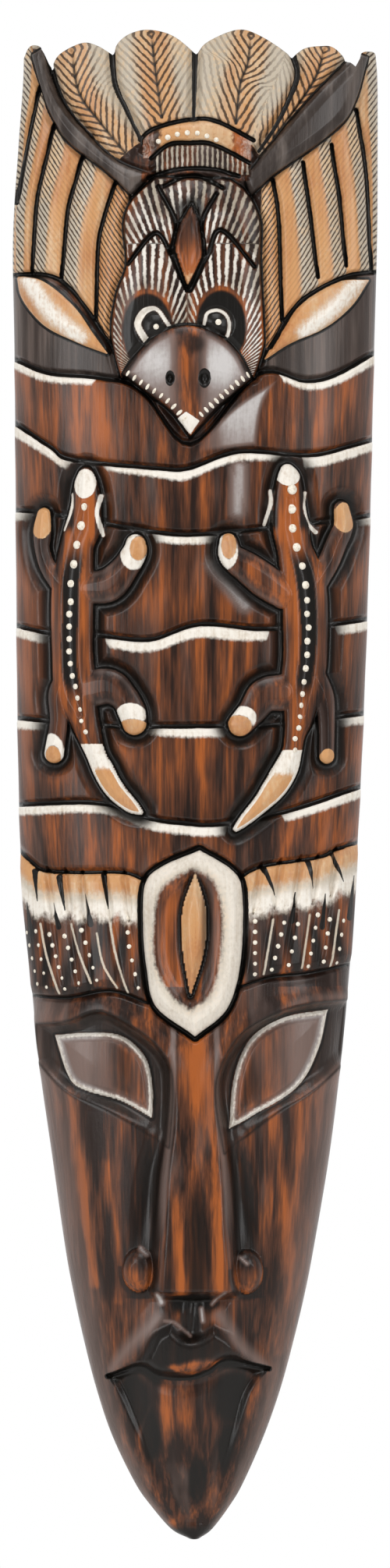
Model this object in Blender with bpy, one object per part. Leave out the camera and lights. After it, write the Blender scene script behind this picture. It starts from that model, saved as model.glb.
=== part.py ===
# A carved wooden wall mask, one metre tall: a half log with a bird, two geckos and a face in relief.
# Metres, +Z up. The mask faces -Y, its back lies in the plane y = 0, and the origin is the mouth
# of the hanging hole in the back. The carving is drawn on a sheet in thousandths of the height:
# u runs across from the middle, v runs up from the tip of the chin.
import bpy
import math
import numpy as np
from mathutils import Matrix

# Driving dimensions
MASK_HEIGHT = 1.000
MASK_WIDTH = 0.243
CROWN_DEPTH = 0.062          # thickness of the half log along its middle
EDGE_DEPTH = 0.012           # thickness of the half log along its sides
CHIN_TIP_DEPTH = 0.024       # thickness at the very tip of the chin
HANG_HEIGHT = 0.915          # hanging hole above the chin's tip
HANG_HOLE_DIAMETER = 0.007
HANG_HOLE_DEPTH = 0.018
HOLLOW_WALL = 0.022          # wood left in front of the hollow in the back
HOLLOW_RIM = 0.018           # flat rim beside the hollow
HOLLOW_BOTTOM = 0.150        # lower end of the hollow above the chin's tip
HOLLOW_TOP = 0.860           # upper end of the hollow above the chin's tip
HOLLOW_SHALLOWEST = 0.004    # depth of the hollow where the log is thin
CUTTER_PROUD = 0.018         # how far the hollow's cutter stands out of the back

# Heights and depths of the carving
GROOVE_DEPTH = 0.0040        # cuts between feathers
GROOVE_WIDTH = 0.0036
DEEPEST_CUT = 0.0075         # no cut above the face goes deeper into the log
FEATHER_SWELL = 0.0028
RIBBON_RISE = 0.0045         # the two dark wing bones
HEAD_RISE = 0.0065
SCALE_STEP = 0.0022
BEAK_RISE = 0.0125
EYE_BOSS_RISE = 0.0025
LEAF_RISE = 0.0035
BAND_STEP = 0.0036
LIZARD_RISE = 0.0060
LIZARD_GROUND = 0.0030       # wood cut away around the geckos
FRINGE_RISE = 0.0045
JEWEL_RISE = 0.0085
JEWEL_SINK = 0.0040
SOCKET_DEPTH = 0.0105
EYE_SWELL = 0.0055
BROW_RISE = 0.0035
NOSE_ROOT_RISE = 0.004
NOSE_TIP_RISE = 0.019
NOSTRIL_RISE = 0.009
LIP_RISE = 0.009
CHIN_STEP = 0.006

# How finely the front is worked
COLUMNS = 190
ROWS = 620
FACES_KEPT = 8700            # triangles left when the flat and gentle parts are thinned
SHEET = 1000.0               # the drawing's units in the mask's height
CREST_FROM = 0.9             # share of the height above which the rows bend to the crest's edge
RELIEF_LEAN = 0.35           # how far the carving leans outwards at the sides
SIDE_FADE = 0.16             # cosine of the turn over which the carving dies out at the sides
CHIN_FADE = 12               # v below which the carving dies out at the chin's tip
HOLLOW_COLUMNS = 17
HOLLOW_RINGS = 25
HOLLOW_END_SPREAD = 2.2      # how soon the hollow reaches its full width from its ends
HOLLOW_ROUNDNESS = 0.8       # 1 is a round trough, less is flatter with steeper sides

# Outline: the widest places of each side as (v, share of the half width)
LEFT_SIDE = [(0, 0.035), (6, 0.130), (22, 0.245), (37, 0.330), (68, 0.453), (99, 0.539), (131, 0.607),
             (162, 0.663), (193, 0.710), (255, 0.783), (318, 0.856), (380, 0.903), (442, 0.950),
             (536, 0.971), (660, 0.980), (785, 0.988), (863, 0.997), (925, 0.967), (972, 0.940), (1000, 0.938)]
RIGHT_SIDE = [(0, 0.025), (6, 0.094), (22, 0.193), (37, 0.265), (68, 0.377), (99, 0.467), (131, 0.539),
              (162, 0.600), (193, 0.650), (255, 0.736), (318, 0.800), (380, 0.847), (442, 0.881),
              (536, 0.920), (660, 0.955), (785, 0.980), (863, 0.997), (925, 1.000), (972, 0.998), (1000, 0.976)]
CROWN = [(0, 0.0), (30, 0.30), (80, 0.62), (150, 0.83), (250, 0.95), (400, 1.0), (800, 0.98), (900, 0.91),
         (1000, 0.82)]       # how far the middle has risen from the chin tip's depth to the full crown

# The six lobes of the crest, wing tip to wing tip
CREST_LOBES = [
    [(-114, 984), (-111, 990), (-107, 992), (-102, 989), (-97, 975)],
    [(-97, 975), (-90, 985), (-75, 992), (-65, 990), (-56, 984)],
    [(-56, 984), (-51, 992), (-42, 998), (-30, 1000), (-15, 996), (0, 984)],
    [(0, 984), (8, 992), (28, 1000), (43, 996), (64, 982)],
    [(64, 982), (71, 988), (82, 990), (91, 989), (103, 977)],
    [(103, 977), (109, 986), (114, 988), (119, 986), (121, 971)],
]

CREST_CUTS = [
    [(-97, 975), (-93, 962), (-85, 947), (-71, 931)],
    [(-56, 986), (-54, 965), (-46, 947), (-34, 922)],
    [(0, 986), (-1, 942)],
    [(66, 984), (69, 971), (64, 956), (54, 936), (43, 920)],
    [(103, 978), (94, 964), (79, 948), (55, 926)],
]
CREST_SHAFTS = [
    [(-82, 987), (-77, 959), (-63, 939), (-45, 917)],
    [(-29, 997), (-26, 971), (-22, 942)],
    [(37, 996), (35, 978), (30, 964), (27, 938)],
    [(86, 988), (80, 969), (67, 948), (53, 929)],
]
WING_CUTS = [
    [(-104, 965), (-111, 934), (-116, 908), (-119, 888)],
    [(-94, 939), (-102, 908), (-106, 890), (-108, 866), (-109, 840)],
    [(-75, 917), (-83, 891), (-86, 876), (-89, 837)],
    [(-53, 900), (-61, 876), (-65, 855), (-66, 809)],
    [(52, 901), (56, 875), (58, 808)],
    [(72, 913), (77, 880), (82, 837)],
    [(91, 925), (97, 889), (101, 845)],
    [(108, 949), (115, 907), (118, 844)],
]
# Wing bones: upper run from the tip inwards, lower run back out
LEFT_BONE = [[(-102, 989), (-96, 967), (-88, 950), (-73, 932), (-52, 913), (-27, 903)],
             [(-42, 891), (-60, 908), (-82, 925), (-94, 942), (-103, 966), (-109, 989)]]
RIGHT_BONE = [[(108, 986), (83, 961), (63, 938), (44, 915), (32, 900)],
              [(37, 891), (54, 906), (78, 923), (98, 940), (107, 956), (116, 989)]]

# Collar, head and beak of the bird
COLLAR_ARCS = [
    [(-37, 928), (-26, 935), (-1, 941), (15, 939), (39, 927)],
    [(-29, 915), (-17, 924), (-3, 925), (12, 924), (36, 912)],
    [(-31, 902), (-18, 906), (-3, 908), (15, 907), (29, 903)],
]
HEAD = [[(-26, 902), (-41, 888), (-47, 871), (-45, 845), (-52, 824), (-55, 797), (-49, 770)],
        [(-49, 770), (39, 770)],
        [(39, 770), (45, 790), (45, 805), (43, 848), (43, 873), (35, 891), (21, 902)]]
HEAD_CUTS = [
    [(-20, 896), (-9, 902), (3, 903), (18, 895)],
    [(-24, 896), (-13, 874), (-13, 863), (-16, 852)],
    [(-44, 845), (-26, 865), (-16, 852), (-12, 843), (-5, 827)],
    [(14, 891), (5, 873), (6, 851)],
    [(39, 843), (17, 867), (8, 850), (-3, 827)],
]
BLADE = [[(-2, 884), (-10, 870), (-13, 856), (-5, 829)], [(-5, 829), (5, 852), (3, 870), (-2, 884)]]
BIRD_EYES = [(-26, 803, 11), (14, 805, 9.5)]
BEAK = [[(-47, 772), (-37, 786), (-24, 798), (-6, 804), (13, 799), (27, 787), (37, 769)],
        [(37, 769), (17, 752), (-3, 731)], [(-3, 731), (-16, 748), (-33, 761), (-47, 772)]]
BEAK_HOLES = [(-16, 769, 3), (6, 769, 4)]

# Leaves below the wings, with the cut above each
LEAVES = [
    [[(-118, 839), (-100, 834), (-80, 817), (-68, 800), (-58, 786)],
     [(-58, 786), (-76, 793), (-99, 805), (-114, 823), (-118, 839)]],
    [[(115, 836), (95, 834), (76, 823), (61, 807), (46, 782)],
     [(46, 782), (63, 793), (85, 803), (103, 818), (115, 836)]],
]
LEAF_CUTS = [
    [(-122, 840), (-100, 839), (-86, 832), (-74, 818), (-54, 788)],
    [(120, 842), (101, 838), (79, 827), (66, 816), (50, 790)],
]
BIB_CUT = [(-122, 785), (-98, 774), (-64, 770), (-36, 762), (-3, 726), (41, 772), (73, 768), (94, 773), (122, 790)]

# Upper lips of the stepped bands, from the bib down; the last one is the fringe's shadow
BANDS = [
    BIB_CUT,
    [(-122, 743), (-96, 725), (-81, 716), (-24, 710), (-4, 710), (29, 721), (75, 719), (101, 725), (122, 732)],
    [(-122, 684), (-98, 681), (-27, 668), (12, 667), (93, 676), (119, 681)],
    [(-122, 608), (-98, 602), (-65, 600), (-30, 597), (3, 607), (45, 604), (95, 608), (117, 612)],
    [(-122, 546), (-57, 540), (19, 540), (57, 541), (115, 549)],
    [(-119, 488), (-63, 489), (-30, 479), (-10, 476), (16, 475), (62, 484), (113, 501)],
    [(-122, 448), (-60, 440), (0, 420), (60, 444), (122, 455)],
]

# Geckos: each limb is a run of (u, v, half width)
LEFT_GECKO = [
    [(-72, 706, 5), (-72, 698, 8), (-72, 685, 10), (-74, 671, 11.5), (-78, 658, 11), (-81, 628, 14),
     (-81, 589, 13.5), (-79, 564, 14), (-74, 547, 10), (-66, 523, 6.5), (-60, 510, 7), (-53, 498, 6.5),
     (-43, 488, 5), (-36, 483, 2)],
    [(-100, 680, 4.5), (-101, 669, 6), (-101, 657, 5), (-97, 645, 5.5), (-88, 633, 7)],
    [(-71, 631, 10), (-57, 633, 11), (-47, 643, 9), (-40, 654, 8), (-39, 660, 6.5)],
    [(-84, 572, 8), (-90, 561, 7), (-90, 543, 6), (-93, 522, 6.5)],
    [(-71, 564, 12), (-57, 566, 11.5), (-47, 559, 9), (-42, 550, 9), (-40, 542, 8)],
]
RIGHT_GECKO = [
    [(61, 708, 5), (62, 702, 8), (62, 690, 10), (63, 672, 12), (66, 656, 11.5), (72, 631, 15), (73, 589, 14.5),
     (71, 569, 14), (69, 548, 10), (66, 535, 7), (64, 523, 6.5), (60, 512, 8), (53, 500, 8), (44, 489, 6),
     (33, 478, 4), (27, 472, 2)],
    [(97, 684, 5), (98, 672, 6.5), (93, 660, 7), (88, 648, 7), (79, 634, 8)],
    [(22, 661, 6), (24, 652, 8), (35, 644, 10), (47, 635, 11), (59, 627, 10)],
    [(79, 572, 8), (85, 559, 7), (87, 543, 5.5), (87, 520, 5)],
    [(58, 562, 12), (46, 560, 11), (38, 550, 9), (30, 541, 8)],
]

# Fringe of hair on the forehead, and the jewel between its halves
FRINGES = [
    [[(-125, 465), (-109, 449), (-99, 443), (-74, 442), (-47, 442), (-31, 436)], [(-31, 436), (-31, 358)],
     [(-31, 358), (-56, 366), (-87, 361), (-125, 364)], [(-125, 364), (-125, 465)]],
    [[(28, 437), (44, 446), (82, 452), (96, 458), (122, 466)], [(122, 466), (122, 387)],
     [(122, 387), (78, 378), (50, 375), (28, 368)], [(28, 368), (28, 437)]],
]
STRAND_TOPS = [(-98, 443, -5), (-86, 442, -4), (-75, 441, -3), (-60, 441, -5), (-47, 441, -4),
               (44, 446, 6), (57, 449, 5), (70, 451, 5), (82, 452, 5), (94, 457, 5)]
JEWEL = [[(3, 458), (-22, 447), (-33, 435), (-34, 405), (-32, 381), (-26, 355), (0, 335)],
         [(0, 335), (21, 353), (30, 384), (31, 430), (24, 445), (3, 458)]]
JEWEL_WELL = [[(-3, 444), (-20, 432), (-25, 412), (-24, 383), (-14, 363), (-3, 354)],
              [(-3, 354), (9, 365), (15, 389), (16, 417), (10, 437), (-3, 444)]]
SPINDLE = [[(0, 443), (-8, 419), (-8, 392), (-3, 362)], [(-3, 362), (6, 392), (7, 419), (0, 443)]]

# Face
SOCKETS = [
    [[(-104, 342), (-85, 344), (-61, 351), (-32, 335), (-18, 318), (-15, 299), (-17, 262)],
     [(-17, 262), (-52, 283), (-83, 297), (-104, 318)], [(-104, 318), (-104, 342)]],
    [[(104, 358), (77, 356), (54, 350), (30, 336), (16, 312), (14, 290), (19, 258)],
     [(19, 258), (52, 283), (77, 298), (104, 322)], [(104, 322), (104, 358)]],
]
EYES = [
    [[(-94, 335), (-72, 337), (-50, 335), (-34, 321), (-29, 301), (-29, 281)],
     [(-29, 281), (-50, 292), (-74, 299), (-85, 308), (-94, 335)]],
    [[(89, 352), (60, 347), (38, 333), (27, 308), (23, 274)],
     [(23, 274), (38, 282), (69, 301), (83, 326), (89, 352)]],
]
NOSE = [(0, 350, 15), (0, 311, 15), (1, 276, 17), (0, 243, 21), (0, 210, 23), (0, 172, 26)]
NOSE_BASE_V = 161
NOSTRILS = [(-37, 180, 10), (34, 179, 10)]
MUZZLE = [[(-56, 112), (-38, 140), (-24, 160)], [(-24, 160), (24, 160)], [(24, 160), (32, 138), (47, 114)],
          [(47, 114), (22, 119), (9, 111), (-4, 108), (-24, 109), (-37, 116), (-56, 112)]]
LIP = [[(-55, 111), (-37, 123), (-28, 139), (-15, 147)], [(-15, 147), (-3, 138), (12, 146)],
       [(12, 146), (26, 137), (36, 124), (45, 114)],
       [(45, 114), (22, 120), (9, 113), (-4, 109), (-24, 110), (-37, 116), (-55, 111)]]
MOUTH_CUT = [(-58, 109), (-37, 116), (-24, 110), (-4, 109), (9, 113), (22, 120), (49, 114)]
CHIN = [[(-58, 109), (-37, 116), (-24, 110), (-4, 109), (9, 113), (22, 120), (49, 114)],
        [(49, 114), (37, 97), (29, 71), (19, 39), (8, 8)], [(8, 8), (-8, 8)],
        [(-8, 8), (-14, 17), (-31, 48), (-40, 71), (-50, 94), (-58, 109)]]


def smooth_run(points, steps=7):
    """Points along a Catmull-Rom curve through the given ones."""
    p = np.array(points, float)
    if len(p) < 3:
        return p
    p = np.vstack([2 * p[0] - p[1], p, 2 * p[-1] - p[-2]])
    t = np.linspace(0, 1, steps, endpoint=False)[:, None]
    runs = []
    for a, b, c, d in zip(p, p[1:], p[2:], p[3:]):
        runs.append(b + 0.5 * t * (c - a + t * (2 * a - 5 * b + 4 * c - d + t * (3 * (b - c) + d - a))))
    return np.vstack(runs + [p[-2:-1]])


def outline(runs):
    """A closed outline whose smooth runs meet at corners."""
    return np.vstack([smooth_run(run)[:-1] for run in runs])


def ease(x, low, high):
    """0 below low, 1 above high, smooth between."""
    t = np.clip((x - low) / (high - low), 0, 1)
    return t * t * (3 - 2 * t)


def window(u, v, points, margin):
    """Which places of the sheet lie near the points."""
    low, high = points[:, :2].min(0) - margin, points[:, :2].max(0) + margin
    return (u > low[0]) & (u < high[0]) & (v > low[1]) & (v < high[1])


def span_distances(u, v, a, b):
    """Distance to the span a-b, and how far along it the nearest point lies."""
    du, dv = b[0] - a[0], b[1] - a[1]
    along = np.clip(((u - a[0]) * du + (v - a[1]) * dv) / (du * du + dv * dv + 1e-9), 0, 1)
    return np.hypot(u - a[0] - along * du, v - a[1] - along * dv), along


def inside_depth(u, v, runs, margin=14):
    """Distance from the outline: positive inside the shape, negative outside, -margin far away."""
    points = outline(runs)
    depth = np.full(u.shape, -float(margin))
    near = window(u, v, points, margin)
    x, y = u[near], v[near]
    nearest, inside = np.full(x.shape, float(margin)), np.zeros(x.shape, bool)
    for a, b in zip(points, np.roll(points, -1, axis=0)):
        distance, _ = span_distances(x, y, a, b)
        nearest = np.minimum(nearest, distance)
        crosses = (a[1] > y) != (b[1] > y)
        inside ^= crosses & (x < (b[0] - a[0]) * (y - a[1]) / (b[1] - a[1] + 1e-12) + a[0])
    depth[near] = np.where(inside, np.maximum(nearest, 1e-6), -nearest)
    full = inside & (nearest >= margin)
    depth[near] = np.where(full, margin, depth[near])
    return depth


def limb_depth(u, v, points, margin=14):
    """Depth inside a limb of changing half width, negative outside."""
    run = smooth_run(points)
    depth = np.full(u.shape, -float(margin))
    near = window(u, v, run, margin + run[:, 2].max())
    x, y = u[near], v[near]
    best = np.full(x.shape, -float(margin))
    for a, b in zip(run, run[1:]):
        distance, along = span_distances(x, y, a, b)
        best = np.maximum(best, a[2] + along * (b[2] - a[2]) - distance)
    depth[near] = best
    return depth


def cut(u, v, points, width, taper=0.35):
    """A V cut along a curve, 1 at its bottom and 0 beyond its width, thinner at its ends."""
    run = smooth_run(points)
    shape = np.zeros(u.shape)
    near = window(u, v, run, width)
    x, y = u[near], v[near]
    best = np.zeros(x.shape)
    count = len(run) - 1
    for i, (a, b) in enumerate(zip(run, run[1:])):
        distance, along = span_distances(x, y, a, b)
        place = (i + along) / count
        reach = width * (1 - taper * ease(abs(2 * place - 1), 0.6, 1))
        best = np.maximum(best, 1 - ease(distance, 0, reach))
    shape[near] = best
    return shape


def curve_height(u, points):
    """v of a curve that runs across the sheet."""
    run = smooth_run(points)
    return np.interp(u, run[:, 0], run[:, 1])


def crest_edge(u):
    """v of the crest's upper edge."""
    run = np.vstack([smooth_run(lobe) for lobe in CREST_LOBES])
    return np.interp(u, run[:, 0], run[:, 1])


def lay_over(relief, depth, top, moat=GROOVE_DEPTH):
    """Lays a raised shape of height top over the relief, with a cut all round it."""
    over = ease(depth, -1.6, 1.0)
    return (relief - moat * ease(depth, -5.5, -1)) * (1 - over) + top * over


def swelling(depth, reach):
    """0 at a shape's edge, rounding up to 1 at the given depth inside it."""
    return np.sqrt(np.clip((depth + 1) / reach, 0, 1))


def feathers(u, v):
    """Crest feathers, wing feathers and the two wing bones."""
    groove = GROOVE_WIDTH * SHEET
    relief = np.zeros(u.shape)
    for points in CREST_CUTS:
        relief -= GROOVE_DEPTH * 1.4 * cut(u, v, points, groove * 1.6, 0.1)
        relief -= FEATHER_SWELL * cut(u, v, points, groove * 4, 0)
    for points in CREST_SHAFTS:
        relief -= GROOVE_DEPTH * 0.4 * cut(u, v, points, groove * 0.6)
    for points in WING_CUTS:
        relief -= GROOVE_DEPTH * cut(u, v, points, groove, 0.5)
        relief -= FEATHER_SWELL * 0.7 * cut(u, v, points, groove * 2.8, 0)
    for runs in (LEFT_BONE, RIGHT_BONE):
        depth = inside_depth(u, v, runs)
        relief = lay_over(relief, depth, RIBBON_RISE * swelling(depth, 8), GROOVE_DEPTH * 0.6)
    return relief


def bird(u, v, relief):
    """Collar, head with its scales, eyes and beak, laid over the wings."""
    for points in COLLAR_ARCS:
        relief -= GROOVE_DEPTH * 0.8 * cut(u, v, points, GROOVE_WIDTH * SHEET * 0.8)
        relief += SCALE_STEP * cut(u, v, [(a, b - 6) for a, b in points], 9, 0.8)
    depth = inside_depth(u, v, HEAD)
    relief = lay_over(relief, depth, HEAD_RISE * swelling(depth, 14), GROOVE_DEPTH * 0.8)
    for points in HEAD_CUTS:
        relief -= GROOVE_DEPTH * 0.9 * cut(u, v, points, GROOVE_WIDTH * SHEET * 0.9)
        relief += SCALE_STEP * cut(u, v, [(a, b + 6) for a, b in points], 8, 0.6)
    blade = inside_depth(u, v, BLADE)
    relief += SCALE_STEP * ease(blade, -0.5, 4) - GROOVE_DEPTH * 0.5 * ease(blade, -3, -1) * (blade < 0)
    for a, b, size in BIRD_EYES:
        away = np.hypot(u - a, v - b) / size
        relief += EYE_BOSS_RISE * (1 - ease(away, 0.2, 1.0)) - GROOVE_DEPTH * 0.5 * (1 - ease(abs(away - 1), 0, 0.3))
    beak = inside_depth(u, v, BEAK, 30)
    dome = BEAK_RISE * (0.4 + 0.6 * swelling(beak, 24))
    relief = lay_over(relief, beak, dome, GROOVE_DEPTH * 0.5)
    for a, b, size in BEAK_HOLES:
        relief -= GROOVE_DEPTH * 0.7 * (1 - ease(np.hypot(u - a, (v - b) * 0.7) / size, 0.2, 1))
    return relief


def leaves_and_bands(u, v, relief):
    """The stepped bands of the breast, and the leaves under the wings."""
    tops = [curve_height(u, points) for points in BANDS]
    for upper, lower in zip(tops, tops[1:]):
        within = (v < upper) & (v >= lower)
        down = (upper - v) / (upper - lower)
        lip = BAND_STEP * (1 - 0.85 * down) * ease(upper - v, 0, 3.2)
        relief = np.where(within, lip, relief)
        relief -= GROOVE_DEPTH * 0.7 * (1 - ease(abs(v - upper - 1), 0, 3))
    for runs in LEAVES:
        depth = inside_depth(u, v, runs)
        relief = lay_over(relief, depth, LEAF_RISE * swelling(depth, 8), 0)
    for points in LEAF_CUTS:
        relief -= GROOVE_DEPTH * cut(u, v, points, GROOVE_WIDTH * SHEET, 0.2)
    return relief


def geckos(u, v, relief):
    """Both geckos, and the ground cut away around them."""
    for limbs in (LEFT_GECKO, RIGHT_GECKO):
        depth = np.max([limb_depth(u, v, limb) for limb in limbs], axis=0)
        ground = ease(depth, -10, -2)
        relief = relief * (1 - 0.7 * ground) - LIZARD_GROUND * ground
        relief = lay_over(relief, depth, LIZARD_RISE * swelling(depth, 9), 0)
        stripe = cut(u, v, [(a, b) for a, b, _ in limbs[0][2:9]], 6.5, 0.5)
        relief -= LIZARD_RISE * 0.3 * stripe
    return relief


def forehead(u, v, relief):
    """Fringe of hair and the pointed oval jewel."""
    for runs in FRINGES:
        depth = inside_depth(u, v, runs)
        relief = lay_over(relief, depth, FRINGE_RISE * swelling(depth, 7), GROOVE_DEPTH * 0.7)
    for a, b, lean in STRAND_TOPS:
        strand = [(a, b + 3), (a - lean * 0.5, b - 12), (a - lean, b - 30)]
        relief -= GROOVE_DEPTH * cut(u, v, strand, GROOVE_WIDTH * SHEET, 0.7)
        relief -= GROOVE_DEPTH * 0.3 * cut(u, v, [(a - lean, b - 30), (a - lean * 2.4, b - 74)], 3)
    depth = inside_depth(u, v, JEWEL, 20)
    relief = lay_over(relief, depth, JEWEL_RISE * swelling(depth, 8))
    well = inside_depth(u, v, JEWEL_WELL)
    relief -= JEWEL_SINK * ease(well, -1, 8)
    spindle = inside_depth(u, v, SPINDLE)
    relief += JEWEL_SINK * ease(spindle, -1, 6) - GROOVE_DEPTH * 0.5 * ease(spindle, -5, -1) * (spindle < -1)
    return relief


def face(u, v, relief):
    """Brows, eyes, nose, lips and chin below the fringe."""
    for socket, eye in zip(SOCKETS, EYES):
        depth = inside_depth(u, v, socket, 20)
        lift = BROW_RISE * ease(depth, -14, -1) * ease(-depth, -2, 1) * ease(v, 285, 325)
        inner = 0.45 + 0.55 * (1 - ease(abs(u), 30, 90))
        relief = relief + lift - SOCKET_DEPTH * inner * ease(depth, -1.5, 8) * ease(v, 262, 300)
        ball = inside_depth(u, v, eye, 20)
        relief += EYE_SWELL * (0.5 * ease(ball, -0.7, 2.5) + 0.5 * np.sqrt(np.clip(ball / 18, 0, 1)))
        relief -= GROOVE_DEPTH * 0.35 * ease(ball, 1.6, 3.6) * (1 - ease(ball, 3.6, 6))
    ridge = smooth_run(NOSE)
    half = np.interp(v, ridge[::-1, 1], ridge[::-1, 2])
    middle = np.interp(v, ridge[::-1, 1], ridge[::-1, 0])
    rise = NOSE_ROOT_RISE + (NOSE_TIP_RISE - NOSE_ROOT_RISE) * ease(-v, -320, -172)
    across = abs(u - middle) / half
    flank = 1 - ease(across, 0.72, 1.28)
    length = ease(v, NOSE_BASE_V - 1, NOSE_BASE_V + 7) * (1 - ease(v, 322, 350))
    trough = GROOVE_DEPTH * (1 - ease(abs(across - 1.45), 0, 0.5)) * ease(v, 185, 230) * (1 - ease(v, 250, 300))
    relief = relief + rise * flank * length - trough
    for a, b, size in NOSTRILS:
        away = np.hypot((u - a) / size, (v - b) / (size * 1.35))
        wing = NOSTRIL_RISE * np.sqrt(np.clip(1.2 - away * away, 0, 1))
        relief = np.where(away < 1.09, np.maximum(relief, wing), relief)
    muzzle = inside_depth(u, v, MUZZLE, 20)
    relief += LIP_RISE * 0.35 * ease(muzzle, -6, 10)
    lip = inside_depth(u, v, LIP, 20)
    relief += LIP_RISE * 0.65 * ease(lip, -0.5, 9)
    gutter = cut(u, v, [(-1, 158), (-3, 140)], 8, 0)
    relief -= GROOVE_DEPTH * gutter
    chin = inside_depth(u, v, CHIN, 26)
    relief -= CHIN_STEP * ease(chin, -0.5, 5) * (0.35 + 0.65 * ease(v, 30, 110))
    relief += CHIN_STEP * 0.5 * (1 - ease(abs(u + 5), 2, 30)) * ease(chin, 2, 14) * ease(v, 10, 60)
    relief -= GROOVE_DEPTH * 1.2 * cut(u, v, MOUTH_CUT, GROOVE_WIDTH * SHEET * 1.2, 0.6)
    return relief


def carving(u, v):
    """How far the carved surface stands out from the half log, in metres."""
    relief = feathers(u, v)
    relief = leaves_and_bands(u, v, relief)
    relief = bird(u, v, relief)
    relief = geckos(u, v, relief)
    relief = np.maximum(forehead(u, v, relief), -DEEPEST_CUT)
    return face(u, v, relief)


def side_limits(v):
    """u of the left and right sides at the heights v."""
    half = MASK_WIDTH / MASK_HEIGHT * SHEET / 2
    left, right = smooth_run(LEFT_SIDE), smooth_run(RIGHT_SIDE)
    return -half * np.interp(v, left[:, 0], left[:, 1]), half * np.interp(v, right[:, 0], right[:, 1])


def log_depth(v):
    """Thickness of the plain half log along its middle."""
    crown = smooth_run(CROWN)
    return CHIN_TIP_DEPTH + (CROWN_DEPTH - CHIN_TIP_DEPTH) * np.interp(v, crown[:, 0], crown[:, 1])


def front_grid():
    """Points of the carved front as an array of rows and columns, with the sides at its ends."""
    turn = np.linspace(-math.pi / 2, math.pi / 2, COLUMNS + 1)[None, :]
    rung = np.linspace(0, 1, ROWS + 1)[:, None]
    low_v = SHEET * rung
    left, right = side_limits(low_v)
    u = (left + right) / 2 + (right - left) / 2 * np.sin(turn)
    foot = CREST_FROM * SHEET
    bent = foot + (crest_edge(u) - foot) * (rung - CREST_FROM) / (1 - CREST_FROM)
    v = np.where(rung > CREST_FROM, bent, low_v + 0 * u)
    left, right = side_limits(v)
    u = (left + right) / 2 + (right - left) / 2 * np.sin(turn)
    edge = np.minimum(EDGE_DEPTH, log_depth(v) * 0.5)
    y = -edge - (log_depth(v) - edge) * np.cos(turn)
    relief = carving(u, v) * ease(np.cos(turn), 0.0, SIDE_FADE) * ease(v, 0, CHIN_FADE)
    lean = np.sin(turn) * RELIEF_LEAN
    to_metres = MASK_HEIGHT / SHEET
    x = u * to_metres + relief * lean
    y = y - relief * np.sqrt(1 - lean ** 2)
    z = v * to_metres - HANG_HEIGHT
    return np.stack([x, y, z + 0 * x], axis=-1)


def blank_mesh():
    """The carved block before its back is hollowed: front grid, flat back, top and chin closed."""
    front = front_grid()
    rows, columns = front.shape[:2]
    back = front * (1, 0, 1)
    points = np.vstack([front.reshape(-1, 3), back.reshape(-1, 3)])
    behind = rows * columns
    faces = []
    for r in range(rows - 1):
        base = r * columns
        for c in range(columns - 1):
            a, b, d, e = base + c, base + c + 1, base + c + 1 + columns, base + c + columns
            faces.append((a, b, d, e))
            faces.append((behind + b, behind + a, behind + e, behind + d))
        left, right = base, base + columns - 1
        faces.append((behind + left, left, left + columns, behind + left + columns))
        faces.append((right, behind + right, behind + right + columns, right + columns))
    last = (rows - 1) * columns
    for c in range(columns - 1):
        faces.append((last + c, last + c + 1, behind + last + c + 1, behind + last + c))
        faces.append((c + 1, c, behind + c, behind + c + 1))
    mesh = bpy.data.meshes.new("carved_mask")
    mesh.from_pydata(points.tolist(), [], faces)
    mesh.update()
    return mesh


def hollow_mesh():
    """The cutter for the back: a trough that follows the sides, with rounded ends."""
    across = np.linspace(-math.pi / 2, math.pi / 2, HOLLOW_COLUMNS)
    along = np.linspace(-math.pi / 2, math.pi / 2, HOLLOW_RINGS)
    middle, reach = (HOLLOW_TOP + HOLLOW_BOTTOM) / 2, (HOLLOW_TOP - HOLLOW_BOTTOM) / 2
    to_metres = MASK_HEIGHT / SHEET
    points, faces = [], []
    for a in along[1:-1]:
        height = middle + reach * math.sin(a)
        left, right = [float(side) * to_metres for side in side_limits(height / to_metres)]
        end = min(1.0, math.cos(a) * HOLLOW_END_SPREAD) ** 0.5
        centre, half = (left + right) / 2, ((right - left) / 2 - HOLLOW_RIM) * end
        deep = max(float(log_depth(height / to_metres)) - HOLLOW_WALL, HOLLOW_SHALLOWEST) * end
        for t in across:
            y = -deep * max(math.cos(t), 0.0) ** HOLLOW_ROUNDNESS
            points.append((centre + half * math.sin(t), y, height - HANG_HEIGHT))
        points.append((centre + half, CUTTER_PROUD, height - HANG_HEIGHT))
        points.append((centre - half, CUTTER_PROUD, height - HANG_HEIGHT))
    ring = len(across) + 2
    rings = len(along) - 2
    for r in range(rings - 1):
        for c in range(ring):
            d = (c + 1) % ring
            faces.append((r * ring + c, r * ring + d, (r + 1) * ring + d, (r + 1) * ring + c))
    faces.append(list(range(ring - 1, -1, -1)))
    faces.append([(rings - 1) * ring + c for c in range(ring)])
    mesh = bpy.data.meshes.new("hollow_cutter")
    mesh.from_pydata(points, [], faces)
    mesh.update()
    return mesh


def cutter(mesh):
    """A hidden wire object from a mesh, for a Boolean."""
    thing = bpy.data.objects.new(mesh.name, mesh)
    bpy.context.collection.objects.link(thing)
    thing.hide_render = True
    thing.display_type = "WIRE"
    return thing


def hanging_hole():
    """A round drill for the blind hole that the mask hangs by."""
    overrun = 0.004
    bpy.ops.mesh.primitive_cylinder_add(vertices=16, radius=HANG_HOLE_DIAMETER / 2, depth=HANG_HOLE_DEPTH + overrun)
    drill = bpy.context.object
    drill.name = "hanging_hole_cutter"
    drill.data.transform(Matrix.Rotation(math.pi / 2, 4, "X"))
    drill.data.transform(Matrix.Translation((0, (overrun - HANG_HOLE_DEPTH) / 2, 0)))
    drill.hide_render = True
    drill.display_type = "WIRE"
    return drill


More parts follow.
